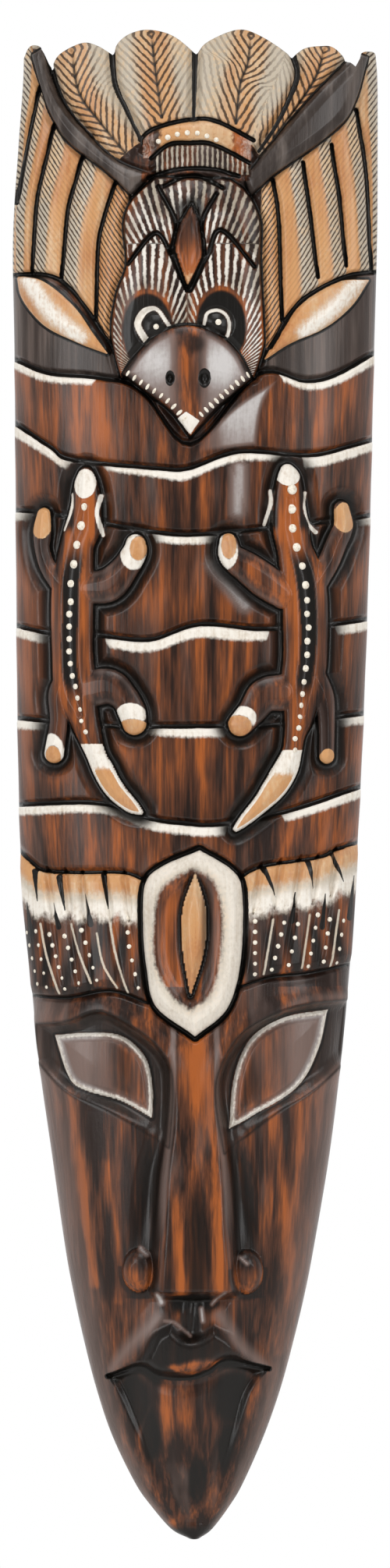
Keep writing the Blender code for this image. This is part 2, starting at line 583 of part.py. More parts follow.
def stained_wood():
    """Dark stained and varnished wood."""
    material = bpy.data.materials.new("stained_wood")
    material.use_nodes = True
    shader = material.node_tree.nodes["Principled BSDF"]
    shader.inputs["Base Color"].default_value = (0.12, 0.045, 0.018, 1)
    shader.inputs["Roughness"].default_value = 0.38
    shader.inputs["Metallic"].default_value = 0.0
    return material


def build():
    for thing in list(bpy.data.objects):
        bpy.data.objects.remove(thing, do_unlink=True)
    mask = bpy.data.objects.new("carved_mask", blank_mesh())
    bpy.context.collection.objects.link(mask)
    mask.data.materials.append(stained_wood())
    thin = mask.modifiers.new("thin", "DECIMATE")
    thin.ratio = FACES_KEPT / (4.0 * COLUMNS * ROWS)
    for name, tool in (("hanging_hole", hanging_hole()), ("hollow", cutter(hollow_mesh()))):
        boolean = mask.modifiers.new(name, "BOOLEAN")
        boolean.operation = "DIFFERENCE"
        boolean.object = tool


build()
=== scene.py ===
# A carved and painted wooden wall mask, one metre tall, built round its CAD part.
# Metres, +Z up, the mask faces -Y. The carving is drawn on a sheet in thousandths of the height:
# u runs across from the middle, v runs up from the tip of the chin.
import bpy
import math
import numpy as np
from mathutils import Matrix, Vector


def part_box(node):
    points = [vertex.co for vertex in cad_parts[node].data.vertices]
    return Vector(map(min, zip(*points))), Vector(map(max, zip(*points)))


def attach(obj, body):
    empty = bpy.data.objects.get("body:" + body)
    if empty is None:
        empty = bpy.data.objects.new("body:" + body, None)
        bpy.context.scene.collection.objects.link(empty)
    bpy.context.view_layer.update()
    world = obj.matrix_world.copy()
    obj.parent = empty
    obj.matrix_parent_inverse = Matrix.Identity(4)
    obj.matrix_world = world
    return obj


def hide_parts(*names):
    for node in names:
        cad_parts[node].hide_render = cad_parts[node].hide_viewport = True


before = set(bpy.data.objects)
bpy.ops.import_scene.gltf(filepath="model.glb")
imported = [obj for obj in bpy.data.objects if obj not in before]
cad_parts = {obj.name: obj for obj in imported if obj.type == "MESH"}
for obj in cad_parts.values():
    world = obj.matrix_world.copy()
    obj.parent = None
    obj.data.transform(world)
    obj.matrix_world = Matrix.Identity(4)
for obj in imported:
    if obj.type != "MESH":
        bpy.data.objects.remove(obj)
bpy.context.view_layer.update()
print("frame loaded")

mask = {
    "maskHeight": 1.000,
    "maskWidth": 0.243,
    "crownDepth": 0.062,
    "edgeDepth": 0.012,
    "chinTipDepth": 0.024,
    "hangHeight": 0.915,
    "hangHoleDiameter": 0.007,
    "hangHoleDepth": 0.018,
    "hollowWall": 0.022,
    "hollowRim": 0.018,
    "hollowBottom": 0.150,
    "hollowTop": 0.860,
    "grooveDepth": 0.0040,
    "grooveWidth": 0.0036,
    "deepestCut": 0.0075,
    "shapeEdge": (-1.6, 1.0),
    "moatSlope": (-5.5, -1),
    "featherSwell": 0.0028,
    "ribbonRise": 0.0045,
    "headRise": 0.0065,
    "scaleStep": 0.0022,
    "beakRise": 0.0125,
    "eyeBossRise": 0.0025,
    "leafRise": 0.0035,
    "bandStep": 0.0036,
    "lizardRise": 0.0060,
    "lizardGround": 0.0030,
    "fringeRise": 0.0045,
    "jewelRise": 0.0085,
    "jewelSink": 0.0040,
    "socketDepth": 0.0105,
    "eyeSwell": 0.0055,
    "browRise": 0.0035,
    "noseRootRise": 0.004,
    "noseTipRise": 0.019,
    "nostrilRise": 0.009,
    "nostrilStretch": 1.35,
    "lipRise": 0.009,
    "chinStep": 0.006,
    "sheet": 1000.0,
    "crestFrom": 0.9,
    "evenness": 0.6,
    "sideFade": 0.16,
    "chinFade": 12,
    "reliefLean": 0.35,
    "hollowShallowest": 0.004,
    "hollowEndSpread": 2.2,
    "hollowRoundness": 0.4,
    "gougeMark": 0.0004,
    "gougeLength": 21,
    "gougeWidth": 0.017,
    "holeSnap": 0.0007,
    "noseBaseV": 161,
}

drawn = {
    # Outline: the widest places of each side as (v, share of the half width)
    "leftSide": [(0, 0.035), (6, 0.130), (22, 0.245), (37, 0.330), (68, 0.453), (99, 0.539), (131, 0.607),
                 (162, 0.663), (193, 0.710), (255, 0.783), (318, 0.856), (380, 0.903), (442, 0.950),
                 (536, 0.971), (660, 0.980), (785, 0.988), (863, 0.997), (925, 0.967), (972, 0.940), (1000, 0.938)],
    "rightSide": [(0, 0.025), (6, 0.094), (22, 0.193), (37, 0.265), (68, 0.377), (99, 0.467), (131, 0.539),
                  (162, 0.600), (193, 0.650), (255, 0.736), (318, 0.800), (380, 0.847), (442, 0.881), (536, 0.920),
                  (660, 0.955), (785, 0.980), (863, 0.997), (925, 1.000), (972, 0.998), (1000, 0.976)],
    # How far the middle has risen from the chin tip's depth to the full crown, over v
    "crown": [(0, 0.0), (30, 0.30), (80, 0.62), (150, 0.83), (250, 0.95), (400, 1.0), (800, 0.98), (900, 0.91),
              (1000, 0.82)],

    # The six lobes of the crest, wing tip to wing tip
    "crestLobes": [
        [(-114, 984), (-111, 990), (-107, 992), (-102, 989), (-97, 975)],
        [(-97, 975), (-90, 985), (-75, 992), (-65, 990), (-56, 984)],
        [(-56, 984), (-51, 992), (-42, 998), (-30, 1000), (-15, 996), (0, 984)],
        [(0, 984), (8, 992), (28, 1000), (43, 996), (64, 982)],
        [(64, 982), (71, 988), (82, 990), (91, 989), (103, 977)],
        [(103, 977), (109, 986), (114, 988), (119, 986), (121, 971)],
    ],

    "crestCuts": [
        [(-97, 975), (-93, 962), (-85, 947), (-71, 931)],
        [(-56, 986), (-54, 965), (-46, 947), (-34, 922)],
        [(0, 986), (-1, 942)],
        [(66, 984), (69, 971), (64, 956), (54, 936), (43, 920)],
        [(103, 978), (94, 964), (79, 948), (55, 926)],
    ],
    "crestShafts": [
        [(-82, 987), (-77, 959), (-63, 939), (-45, 917)],
        [(-29, 997), (-26, 971), (-22, 942)],
        [(37, 996), (35, 978), (30, 964), (27, 938)],
        [(86, 988), (80, 969), (67, 948), (53, 929)],
    ],
    "wingCuts": [
        [(-104, 965), (-111, 934), (-116, 908), (-119, 888)],
        [(-94, 939), (-102, 908), (-106, 890), (-108, 866), (-109, 840)],
        [(-75, 917), (-83, 891), (-86, 876), (-89, 837)],
        [(-53, 900), (-61, 876), (-65, 855), (-66, 809)],
        [(52, 901), (56, 875), (58, 808)],
        [(72, 913), (77, 880), (82, 837)],
        [(91, 925), (97, 889), (101, 845)],
        [(108, 949), (115, 907), (118, 844)],
    ],
    # Wing bones: upper run from the tip inwards, lower run back out
    "bones": [
        [[(-102, 989), (-96, 967), (-88, 950), (-73, 932), (-52, 913), (-27, 903)],
         [(-42, 891), (-60, 908), (-82, 925), (-94, 942), (-103, 966), (-109, 989)]],
        [[(108, 986), (83, 961), (63, 938), (44, 915), (32, 900)],
         [(37, 891), (54, 906), (78, 923), (98, 940), (107, 956), (116, 989)]],
    ],

    # Collar, head and beak of the bird
    "collarArcs": [
        [(-37, 928), (-26, 935), (-1, 941), (15, 939), (39, 927)],
        [(-29, 915), (-17, 924), (-3, 925), (12, 924), (36, 912)],
        [(-31, 902), (-18, 906), (-3, 908), (15, 907), (29, 903)],
    ],
    "head": [[(-26, 902), (-41, 888), (-47, 871), (-45, 845), (-52, 824), (-55, 797), (-49, 770)],
            [(-49, 770), (39, 770)],
            [(39, 770), (45, 790), (45, 805), (43, 848), (43, 873), (35, 891), (21, 902)]],
    "headCuts": [
        [(-20, 896), (-9, 902), (3, 903), (18, 895)],
        [(-24, 896), (-13, 874), (-13, 863), (-16, 852)],
        [(-44, 845), (-26, 865), (-16, 852), (-12, 843), (-5, 827)],
        [(14, 891), (5, 873), (6, 851)],
        [(39, 843), (17, 867), (8, 850), (-3, 827)],
    ],
    "blade": [[(-2, 884), (-10, 870), (-13, 856), (-5, 829)], [(-5, 829), (5, 852), (3, 870), (-2, 884)]],
    "birdEyes": [(-26, 803, 11), (14, 805, 9.5)],
    "beak": [[(-47, 772), (-37, 786), (-24, 798), (-6, 804), (13, 799), (27, 787), (37, 769)],
            [(37, 769), (17, 752), (-3, 731)], [(-3, 731), (-16, 748), (-33, 761), (-47, 772)]],
    "beakHoles": [(-16, 769, 3), (6, 769, 4)],

    # Leaves below the wings, with the cut above each
    "leaves": [
        [[(-118, 839), (-100, 834), (-80, 817), (-68, 800), (-58, 786)],
         [(-58, 786), (-76, 793), (-99, 805), (-114, 823), (-118, 839)]],
        [[(115, 836), (95, 834), (76, 823), (61, 807), (46, 782)],
         [(46, 782), (63, 793), (85, 803), (103, 818), (115, 836)]],
    ],
    "leafCuts": [
        [(-122, 840), (-100, 839), (-86, 832), (-74, 818), (-54, 788)],
        [(120, 842), (101, 838), (79, 827), (66, 816), (50, 790)],
    ],

    # Upper lips of the stepped bands, from the bib down; the last one is the fringe's shadow
    "bands": [
        [(-122, 785), (-98, 774), (-64, 770), (-36, 762), (-3, 726), (41, 772), (73, 768), (94, 773), (122, 790)],
        [(-122, 743), (-96, 725), (-81, 716), (-24, 710), (-4, 710), (29, 721), (75, 719), (101, 725), (122, 732)],
        [(-122, 684), (-98, 681), (-27, 668), (12, 667), (93, 676), (119, 681)],
        [(-122, 608), (-98, 602), (-65, 600), (-30, 597), (3, 607), (45, 604), (95, 608), (117, 612)],
        [(-122, 546), (-57, 540), (19, 540), (57, 541), (115, 549)],
        [(-119, 488), (-63, 489), (-30, 479), (-10, 476), (16, 475), (62, 484), (113, 501)],
        [(-122, 448), (-60, 440), (0, 420), (60, 444), (122, 455)],
    ],

    # Geckos: each limb is a run of (u, v, half width)
    "geckos": [[
        [(-72, 706, 5), (-72, 698, 8), (-72, 685, 10), (-74, 671, 11.5), (-78, 658, 11), (-81, 628, 14),
         (-81, 589, 13.5), (-79, 564, 14), (-74, 547, 10), (-66, 523, 6.5), (-60, 510, 7), (-53, 498, 6.5),
         (-43, 488, 5), (-36, 483, 2)],
        [(-100, 680, 4.5), (-101, 669, 6), (-101, 657, 5), (-97, 645, 5.5), (-88, 633, 7)],
        [(-71, 631, 10), (-57, 633, 11), (-47, 643, 9), (-40, 654, 8), (-39, 660, 6.5)],
        [(-84, 572, 8), (-90, 561, 7), (-90, 543, 6), (-93, 522, 6.5)],
        [(-71, 564, 12), (-57, 566, 11.5), (-47, 559, 9), (-42, 550, 9), (-40, 542, 8)],
    ], [
        [(61, 708, 5), (62, 702, 8), (62, 690, 10), (63, 672, 12), (66, 656, 11.5), (72, 631, 15), (73, 589, 14.5),
         (71, 569, 14), (69, 548, 10), (66, 535, 7), (64, 523, 6.5), (60, 512, 8), (53, 500, 8), (44, 489, 6),
         (33, 478, 4), (27, 472, 2)],
        [(97, 684, 5), (98, 672, 6.5), (93, 660, 7), (88, 648, 7), (79, 634, 8)],
        [(22, 661, 6), (24, 652, 8), (35, 644, 10), (47, 635, 11), (59, 627, 10)],
        [(79, 572, 8), (85, 559, 7), (87, 543, 5.5), (87, 520, 5)],
        [(58, 562, 12), (46, 560, 11), (38, 550, 9), (30, 541, 8)],
    ]],

    # Fringe of hair on the forehead, and the jewel between its halves
    "fringes": [
        [[(-125, 465), (-109, 449), (-99, 443), (-74, 442), (-47, 442), (-31, 436)], [(-31, 436), (-31, 358)],
         [(-31, 358), (-56, 366), (-87, 361), (-125, 364)], [(-125, 364), (-125, 465)]],
        [[(28, 437), (44, 446), (82, 452), (96, 458), (122, 466)], [(122, 466), (122, 387)],
         [(122, 387), (78, 378), (50, 375), (28, 368)], [(28, 368), (28, 437)]],
    ],
    "strandTops": [(-98, 443, -5), (-86, 442, -4), (-75, 441, -3), (-60, 441, -5), (-47, 441, -4),
                   (44, 446, 6), (57, 449, 5), (70, 451, 5), (82, 452, 5), (94, 457, 5)],
    "jewel": [[(3, 458), (-22, 447), (-33, 435), (-34, 405), (-32, 381), (-26, 355), (0, 335)],
             [(0, 335), (21, 353), (30, 384), (31, 430), (24, 445), (3, 458)]],
    "jewelWell": [[(-3, 444), (-20, 432), (-25, 412), (-24, 383), (-14, 363), (-3, 354)],
                  [(-3, 354), (9, 365), (15, 389), (16, 417), (10, 437), (-3, 444)]],
    "spindle": [[(0, 443), (-8, 419), (-8, 392), (-3, 362)], [(-3, 362), (6, 392), (7, 419), (0, 443)]],

    # Face
    "sockets": [
        [[(-104, 342), (-85, 344), (-61, 351), (-32, 335), (-18, 318), (-15, 299), (-17, 262)],
         [(-17, 262), (-52, 283), (-83, 297), (-104, 318)], [(-104, 318), (-104, 342)]],
        [[(104, 358), (77, 356), (54, 350), (30, 336), (16, 312), (14, 290), (19, 258)],
         [(19, 258), (52, 283), (77, 298), (104, 322)], [(104, 322), (104, 358)]],
    ],
    "eyes": [
        [[(-94, 335), (-72, 337), (-50, 335), (-34, 321), (-29, 301), (-29, 281)],
         [(-29, 281), (-50, 292), (-74, 299), (-85, 308), (-94, 335)]],
        [[(89, 352), (60, 347), (38, 333), (27, 308), (23, 274)],
         [(23, 274), (38, 282), (69, 301), (83, 326), (89, 352)]],
    ],
    "nose": [(0, 350, 15), (0, 311, 15), (1, 276, 17), (0, 243, 21), (0, 210, 23), (0, 172, 26)],
    "nostrils": [(-37, 180, 10), (34, 179, 10)],
    "muzzle": [[(-56, 112), (-38, 140), (-24, 160)], [(-24, 160), (24, 160)], [(24, 160), (32, 138), (47, 114)],
              [(47, 114), (22, 119), (9, 111), (-4, 108), (-24, 109), (-37, 116), (-56, 112)]],
    "lip": [[(-55, 111), (-37, 123), (-28, 139), (-15, 147)], [(-15, 147), (-3, 138), (12, 146)],
           [(12, 146), (26, 137), (36, 124), (45, 114)],
           [(45, 114), (22, 120), (9, 113), (-4, 109), (-24, 110), (-37, 116), (-55, 111)]],
    "mouthCut": [(-58, 109), (-37, 116), (-24, 110), (-4, 109), (9, 113), (22, 120), (49, 114)],
    "chin": [[(-58, 109), (-37, 116), (-24, 110), (-4, 109), (9, 113), (22, 120), (49, 114)],
            [(49, 114), (37, 97), (29, 71), (19, 39), (8, 8)], [(8, 8), (-8, 8)],
            [(-8, 8), (-14, 17), (-31, 48), (-40, 71), (-50, 94), (-58, 109)]],
}

toMetres = mask["maskHeight"] / mask["sheet"]
cutDepth = mask["grooveDepth"]
cutWidth = mask["grooveWidth"] * mask["sheet"]


# Points along a Catmull-Rom curve through the given ones.
def smoothRun(points, steps=7):
    p = np.array(points, float)
    if len(p) < 3:
        return p
    p = np.vstack([2 * p[0] - p[1], p, 2 * p[-1] - p[-2]])
    t = np.linspace(0, 1, steps, endpoint=False)[:, None]
    runs = []
    for a, b, c, d in zip(p, p[1:], p[2:], p[3:]):
        runs.append(b + 0.5 * t * (c - a + t * (2 * a - 5 * b + 4 * c - d + t * (3 * (b - c) + d - a))))
    return np.vstack(runs + [p[-2:-1]])


# A closed outline whose smooth runs meet at corners.
def outline(runs):
    return np.vstack([smoothRun(run)[:-1] for run in runs])


# 0 below low, 1 above high, smooth between.
def ease(x, low, high):
    t = np.clip((x - low) / (high - low), 0, 1)
    return t * t * (3 - 2 * t)


# Which places of the sheet lie near the points.
def window(u, v, points, margin):
    low, high = points[:, :2].min(0) - margin, points[:, :2].max(0) + margin
    return (u > low[0]) & (u < high[0]) & (v > low[1]) & (v < high[1])


# Distance to the span a-b, and how far along it the nearest point lies.
def spanDistances(u, v, a, b):
    du, dv = b[0] - a[0], b[1] - a[1]
    along = np.clip(((u - a[0]) * du + (v - a[1]) * dv) / (du * du + dv * dv + 1e-9), 0, 1)
    return np.hypot(u - a[0] - along * du, v - a[1] - along * dv), along


# Distance from the outline: positive inside the shape, negative outside, -margin far away.
def insideDepth(u, v, runs, margin=14):
    points = outline(runs)
    depth = np.full(u.shape, -float(margin))
    near = window(u, v, points, margin)
    x, y = u[near], v[near]
    nearest, inside = np.full(x.shape, float(margin)), np.zeros(x.shape, bool)
    for a, b in zip(points, np.roll(points, -1, axis=0)):
        nearest = np.minimum(nearest, spanDistances(x, y, a, b)[0])
        crosses = (a[1] > y) != (b[1] > y)
        inside ^= crosses & (x < (b[0] - a[0]) * (y - a[1]) / (b[1] - a[1] + 1e-12) + a[0])
    depth[near] = np.where(inside, np.maximum(nearest, 1e-6), -nearest)
    return depth


# Depth inside a limb of changing half width, negative outside.
def limbDepth(u, v, points, margin=14):
    run = smoothRun(points)
    depth = np.full(u.shape, -float(margin))
    near = window(u, v, run, margin + run[:, 2].max())
    x, y = u[near], v[near]
    best = np.full(x.shape, -float(margin))
    for a, b in zip(run, run[1:]):
        distance, along = spanDistances(x, y, a, b)
        best = np.maximum(best, a[2] + along * (b[2] - a[2]) - distance)
    depth[near] = best
    return depth


# Distance from an open curve, and how far along it the nearest point lies, 0 to 1.
def nearLine(u, v, points, margin=12.0):
    run = smoothRun(points)
    distance, place = np.full(u.shape, margin), np.zeros(u.shape)
    near = window(u, v, run, margin)
    x, y, best, along = u[near], v[near], distance[near], place[near]
    for i, (a, b) in enumerate(zip(run, run[1:])):
        away, part = spanDistances(x, y, a, b)
        closer = away < best
        best = np.where(closer, away, best)
        along = np.where(closer, (i + part) / (len(run) - 1), along)
    distance[near], place[near] = best, along
    return distance, place


# Distance from an open curve alone.
def lineDistance(u, v, points, margin=12.0):
    return nearLine(u, v, points, margin)[0]


# A V cut along a curve, 1 at its bottom and 0 beyond its width, thinner at its ends.
def cut(u, v, points, width, taper=0.35):
    run = smoothRun(points)
    shape = np.zeros(u.shape)
    near = window(u, v, run, width)
    x, y, best = u[near], v[near], shape[near]
    for i, (a, b) in enumerate(zip(run, run[1:])):
        distance, along = spanDistances(x, y, a, b)
        ends = ease(abs(2 * (i + along) / (len(run) - 1) - 1), 0.6, 1)
        best = np.maximum(best, 1 - ease(distance, 0, width * (1 - taper * ends)))
    shape[near] = best
    return shape


# Share of an oval: 1 at its middle, 0 on its edge, negative outside.
def oval(u, v, spot):
    a, b, wide, tall = spot
    return 1 - np.hypot((u - a) / wide, (v - b) / tall)


# v of a curve that runs across the sheet.
def curveHeight(u, points):
    run = smoothRun(points)
    return np.interp(u, run[:, 0], run[:, 1])


# v of the crest's upper edge.
def crestEdge(u):
    run = np.vstack([smoothRun(lobe) for lobe in drawn["crestLobes"]])
    return np.interp(u, run[:, 0], run[:, 1])


# Lays a raised shape of height top over the relief, with a cut all round it.
def layOver(relief, depth, top, moat):
    over = ease(depth, *mask["shapeEdge"])
    return (relief - moat * ease(depth, *mask["moatSlope"])) * (1 - over) + top * over


# 0 at a shape's edge, rounding up to 1 at the given depth inside it.
def swelling(depth, reach):
    return np.sqrt(np.clip((depth + 1) / reach, 0, 1))


# Lays a shape over the relief, rounded near its edge; the cut round it is a share of the groove's depth.
def raised(relief, depth, height, rounding, moat=1.0):
    return layOver(relief, depth, height * swelling(depth, rounding), cutDepth * moat)


# Crest feathers, wing feathers and the two wing bones.
def feathers(u, v):
    relief = np.zeros(u.shape)
    for name, deep, width, taper in (
            ("crestCuts", cutDepth * 1.4, 1.6, 0.1), ("crestCuts", mask["featherSwell"], 4, 0),
            ("crestShafts", cutDepth * 0.4, 0.6, 0.35), ("wingCuts", cutDepth, 1, 0.5),
            ("wingCuts", mask["featherSwell"] * 0.7, 2.8, 0)):
        for points in drawn[name]:
            relief -= deep * cut(u, v, points, cutWidth * width, taper)
    for runs in drawn["bones"]:
        relief = raised(relief, insideDepth(u, v, runs), mask["ribbonRise"], 8, 0.6)
    return relief


# Collar, head with its scales, eyes and beak, laid over the wings.
def bird(u, v, relief):
    for points in drawn["collarArcs"]:
        relief -= cutDepth * 0.8 * cut(u, v, points, cutWidth * 0.8)
        relief += mask["scaleStep"] * cut(u, v, [(a, b - 6) for a, b in points], 9, 0.8)
    relief = raised(relief, insideDepth(u, v, drawn["head"]), mask["headRise"], 14, 0.8)
    for points in drawn["headCuts"]:
        relief -= cutDepth * 0.9 * cut(u, v, points, cutWidth * 0.9)
        relief += mask["scaleStep"] * cut(u, v, [(a, b + 6) for a, b in points], 8, 0.6)
    blade = insideDepth(u, v, drawn["blade"])
    relief += mask["scaleStep"] * ease(blade, -0.5, 4) - cutDepth * 0.5 * ease(blade, -3, -1) * (blade < 0)
    for a, b, size in drawn["birdEyes"]:
        share = oval(u, v, (a, b, size, size))
        relief += mask["eyeBossRise"] * ease(share, 0, 0.8) - cutDepth * 0.5 * (1 - ease(abs(share), 0, 0.3))
    beak = insideDepth(u, v, drawn["beak"], 30)
    dome = mask["beakRise"] * (0.4 + 0.6 * swelling(beak, 24))
    relief = layOver(relief, beak, dome, cutDepth * 0.5)
    for a, b, size in drawn["beakHoles"]:
        relief -= cutDepth * 0.7 * (1 - ease(np.hypot(u - a, (v - b) * 0.7) / size, 0.2, 1))
    return relief


# The stepped bands of the breast, and the leaves under the wings.
def leavesAndBands(u, v, relief):
    tops = [curveHeight(u, points) for points in drawn["bands"]]
    for upper, lower in zip(tops, tops[1:]):
        within = (v < upper) & (v >= lower)
        down = (upper - v) / (upper - lower)
        lip = mask["bandStep"] * (1 - 0.85 * down) * ease(upper - v, 0, 3.2)
        relief = np.where(within, lip, relief)
        relief -= cutDepth * 0.7 * (1 - ease(abs(v - upper - 1), 0, 3))
    for runs in drawn["leaves"]:
        relief = raised(relief, insideDepth(u, v, runs), mask["leafRise"], 8, 0)
    for points in drawn["leafCuts"]:
        relief -= cutDepth * cut(u, v, points, cutWidth, 0.2)
    return relief


# Both geckos, and the ground cut away around them.
def geckos(u, v, relief):
    for limbs in drawn["geckos"]:
        depth = np.max([limbDepth(u, v, limb) for limb in limbs], axis=0)
        ground = ease(depth, -10, -2)
        relief = relief * (1 - 0.7 * ground) - mask["lizardGround"] * ground
        relief = raised(relief, depth, mask["lizardRise"], 9, 0)
        relief -= mask["lizardRise"] * 0.3 * cut(u, v, [(a, b) for a, b, _ in limbs[0][2:9]], 6.5, 0.5)
    return relief


# Fringe of hair and the pointed oval jewel.
def forehead(u, v, relief):
    for runs in drawn["fringes"]:
        relief = raised(relief, insideDepth(u, v, runs), mask["fringeRise"], 7, 0.7)
    for a, b, lean in drawn["strandTops"]:
        strand = [(a, b + 3), (a - lean * 0.5, b - 12), (a - lean, b - 30)]
        relief -= cutDepth * cut(u, v, strand, cutWidth, 0.7)
        relief -= cutDepth * 0.3 * cut(u, v, [(a - lean, b - 30), (a - lean * 2.4, b - 74)], 3)
    relief = raised(relief, insideDepth(u, v, drawn["jewel"], 20), mask["jewelRise"], 8)
    relief -= mask["jewelSink"] * ease(insideDepth(u, v, drawn["jewelWell"]), -1, 8)
    spindle = insideDepth(u, v, drawn["spindle"])
    relief += mask["jewelSink"] * ease(spindle, -1, 6) - cutDepth * 0.5 * ease(spindle, -5, -1) * (spindle < -1)
    return relief


# Brows, sockets and eyeballs below the fringe.
def eyesAndBrows(u, v, relief):
    for socket, eye in zip(drawn["sockets"], drawn["eyes"]):
        depth = insideDepth(u, v, socket, 20)
        lift = mask["browRise"] * ease(depth, -14, -1) * ease(-depth, -2, 1) * ease(v, 285, 325)
        inner = 0.45 + 0.55 * (1 - ease(abs(u), 30, 90))
        relief = relief + lift - mask["socketDepth"] * inner * ease(depth, -1.5, 8) * ease(v, 262, 300)
        ball = insideDepth(u, v, eye, 20)
        relief += mask["eyeSwell"] * (0.5 * ease(ball, -0.7, 2.5) + 0.5 * np.sqrt(np.clip(ball / 18, 0, 1)))
        relief -= cutDepth * 0.35 * ease(ball, 1.6, 3.6) * (1 - ease(ball, 3.6, 6))
    return relief


# Middle and half width of the nose at the heights v.
def noseShape(v):
    ridge = smoothRun(drawn["nose"])[::-1]
    return np.interp(v, ridge[:, 1], ridge[:, 0]), np.interp(v, ridge[:, 1], ridge[:, 2])


# Long nose with a trough at each side, and its wings.
def nose(u, v, relief):
    middle, half = noseShape(v)
    rise = mask["noseRootRise"] + (mask["noseTipRise"] - mask["noseRootRise"]) * ease(-v, -320, -172)
    across = abs(u - middle) / half
    flank = 1 - ease(across, 0.72, 1.28)
    length = ease(v, mask["noseBaseV"] - 1, mask["noseBaseV"] + 7) * (1 - ease(v, 322, 350))
    trough = cutDepth * (1 - ease(abs(across - 1.45), 0, 0.5)) * ease(v, 185, 230) * (1 - ease(v, 250, 300))
    relief = relief + rise * flank * length - trough
    for a, b, size in drawn["nostrils"]:
        away = 1 - oval(u, v, (a, b, size, size * mask["nostrilStretch"]))
        wing = mask["nostrilRise"] * np.sqrt(np.clip(1.2 - away * away, 0, 1))
        relief = np.where(away < 1.09, np.maximum(relief, wing), relief)
    return relief


# Muzzle, lips and the chiselled chin.
def mouthAndChin(u, v, relief):
    relief += mask["lipRise"] * 0.35 * ease(insideDepth(u, v, drawn["muzzle"], 20), -6, 10)
    relief += mask["lipRise"] * 0.65 * ease(insideDepth(u, v, drawn["lip"], 20), -0.5, 9)
    relief -= cutDepth * cut(u, v, [(-1, 158), (-3, 140)], 8, 0)
    chin = insideDepth(u, v, drawn["chin"], 26)
    relief -= mask["chinStep"] * ease(chin, -0.5, 5) * (0.35 + 0.65 * ease(v, 30, 110))
    relief += mask["chinStep"] * 0.5 * (1 - ease(abs(u + 5), 2, 30)) * ease(chin, 2, 14) * ease(v, 10, 60)
    return relief - cutDepth * 1.2 * cut(u, v, drawn["mouthCut"], cutWidth * 1.2, 0.6)


# How far the carved surface stands out from the half log, in metres.
def carving(u, v):
    relief = feathers(u, v)
    for layer in (leavesAndBands, bird, geckos, forehead):
        relief = layer(u, v, relief)
    relief = np.maximum(relief, -mask["deepestCut"])
    for layer in (eyesAndBrows, nose, mouthAndChin):
        relief = layer(u, v, relief)
    return relief


# u of the left and right sides at the heights v.
def sideLimits(v):
    half = mask["maskWidth"] / mask["maskHeight"] * mask["sheet"] / 2
    left, right = smoothRun(drawn["leftSide"]), smoothRun(drawn["rightSide"])
    return -half * np.interp(v, left[:, 0], left[:, 1]), half * np.interp(v, right[:, 0], right[:, 1])


# Thickness of the plain half log along its middle.
def logDepth(v):
    crown = smoothRun(drawn["crown"])
    risen = np.interp(v, crown[:, 0], crown[:, 1])
    return mask["chinTipDepth"] + (mask["crownDepth"] - mask["chinTipDepth"]) * risen


# Place of the carved surface above the points u, v of the sheet, as an array of x, y, z.
def surfaceAt(u, v):
    left, right = sideLimits(v)
    share = np.clip((u - (left + right) / 2) / ((right - left) / 2), -1, 1)
    rise = np.sqrt(1 - share * share)
    edge = np.minimum(mask["edgeDepth"], logDepth(v) * 0.5)
    relief = carving(u, v) * ease(rise, 0.0, mask["sideFade"]) * ease(v, 0, mask["chinFade"])
    lean = share * mask["reliefLean"]
    x = u * toMetres + relief * lean
    y = -edge - (logDepth(v) - edge) * rise - relief * np.sqrt(1 - lean * lean)
    return np.stack([x, y, v * toMetres - mask["hangHeight"]], axis=-1)


# u and v of every point of the front, as two arrays of rows and columns.
def frontSheet(rungs, columns):
    t = np.linspace(-1, 1, columns + 1)[None, :]
    spread = mask["evenness"]
    across = spread * t + (1 - spread) * np.sin(t * math.pi / 2)
    crestFrom = mask["crestFrom"]
    rung = rungs[:, None]
    lowV = mask["sheet"] * rung
    left, right = sideLimits(lowV)
    u = (left + right) / 2 + (right - left) / 2 * across
    foot = crestFrom * mask["sheet"]
    inCrest = (rung - crestFrom) / (1 - crestFrom)
    v = np.where(rung > crestFrom, foot + (crestEdge(u) - foot) * inCrest, lowV + 0 * u)
    left, right = sideLimits(v)
    return (left + right) / 2 + (right - left) / 2 * across, v


# Depth of the hollow in the back below each point, in metres, with faint marks of a gouge.
def hollowDepth(x, v):
    middle = (mask["hollowTop"] + mask["hollowBottom"]) / 2 * mask["sheet"]
    reach = (mask["hollowTop"] - mask["hollowBottom"]) / 2 * mask["sheet"]
    rise = np.sqrt(np.clip(1 - ((v - middle) / reach) ** 2, 0, 1))
    end = np.minimum(1.0, rise * mask["hollowEndSpread"]) ** 0.5
    left, right = sideLimits(v)
    half = np.maximum(((right - left) / 2 * toMetres - mask["hollowRim"]) * end, 1e-5)
    deep = np.maximum(logDepth(v) - mask["hollowWall"], mask["hollowShallowest"]) * end
    share = np.clip((x - (left + right) / 2 * toMetres) / half, -1, 1)
    profile = (1 - share * share) ** mask["hollowRoundness"]
    wander = 3 * np.sin(x * 60)
    marks = np.cos(v / mask["gougeLength"] * math.tau + wander) * np.cos(x * math.tau / mask["gougeWidth"])
    return deep * profile * (rise > 0) + mask["gougeMark"] * marks * profile * end


# The back as an array of points: flat rim, hollow, and the round hanging hole.
def backPoints(edge):
    x, z = edge[..., 0].copy(), edge[..., 2].copy()
    v = (z + mask["hangHeight"]) / toMetres
    y = -hollowDepth(x, v)
    away = np.hypot(x, z)
    radius, snap = mask["hangHoleDiameter"] / 2, mask["holeSnap"]
    rim = abs(away - radius) < snap
    x[rim], z[rim] = x[rim] * radius / away[rim], z[rim] * radius / away[rim]
    y = np.where(away < radius - snap, -mask["hangHoleDepth"], y)
    return np.stack([x, y, z], axis=-1)


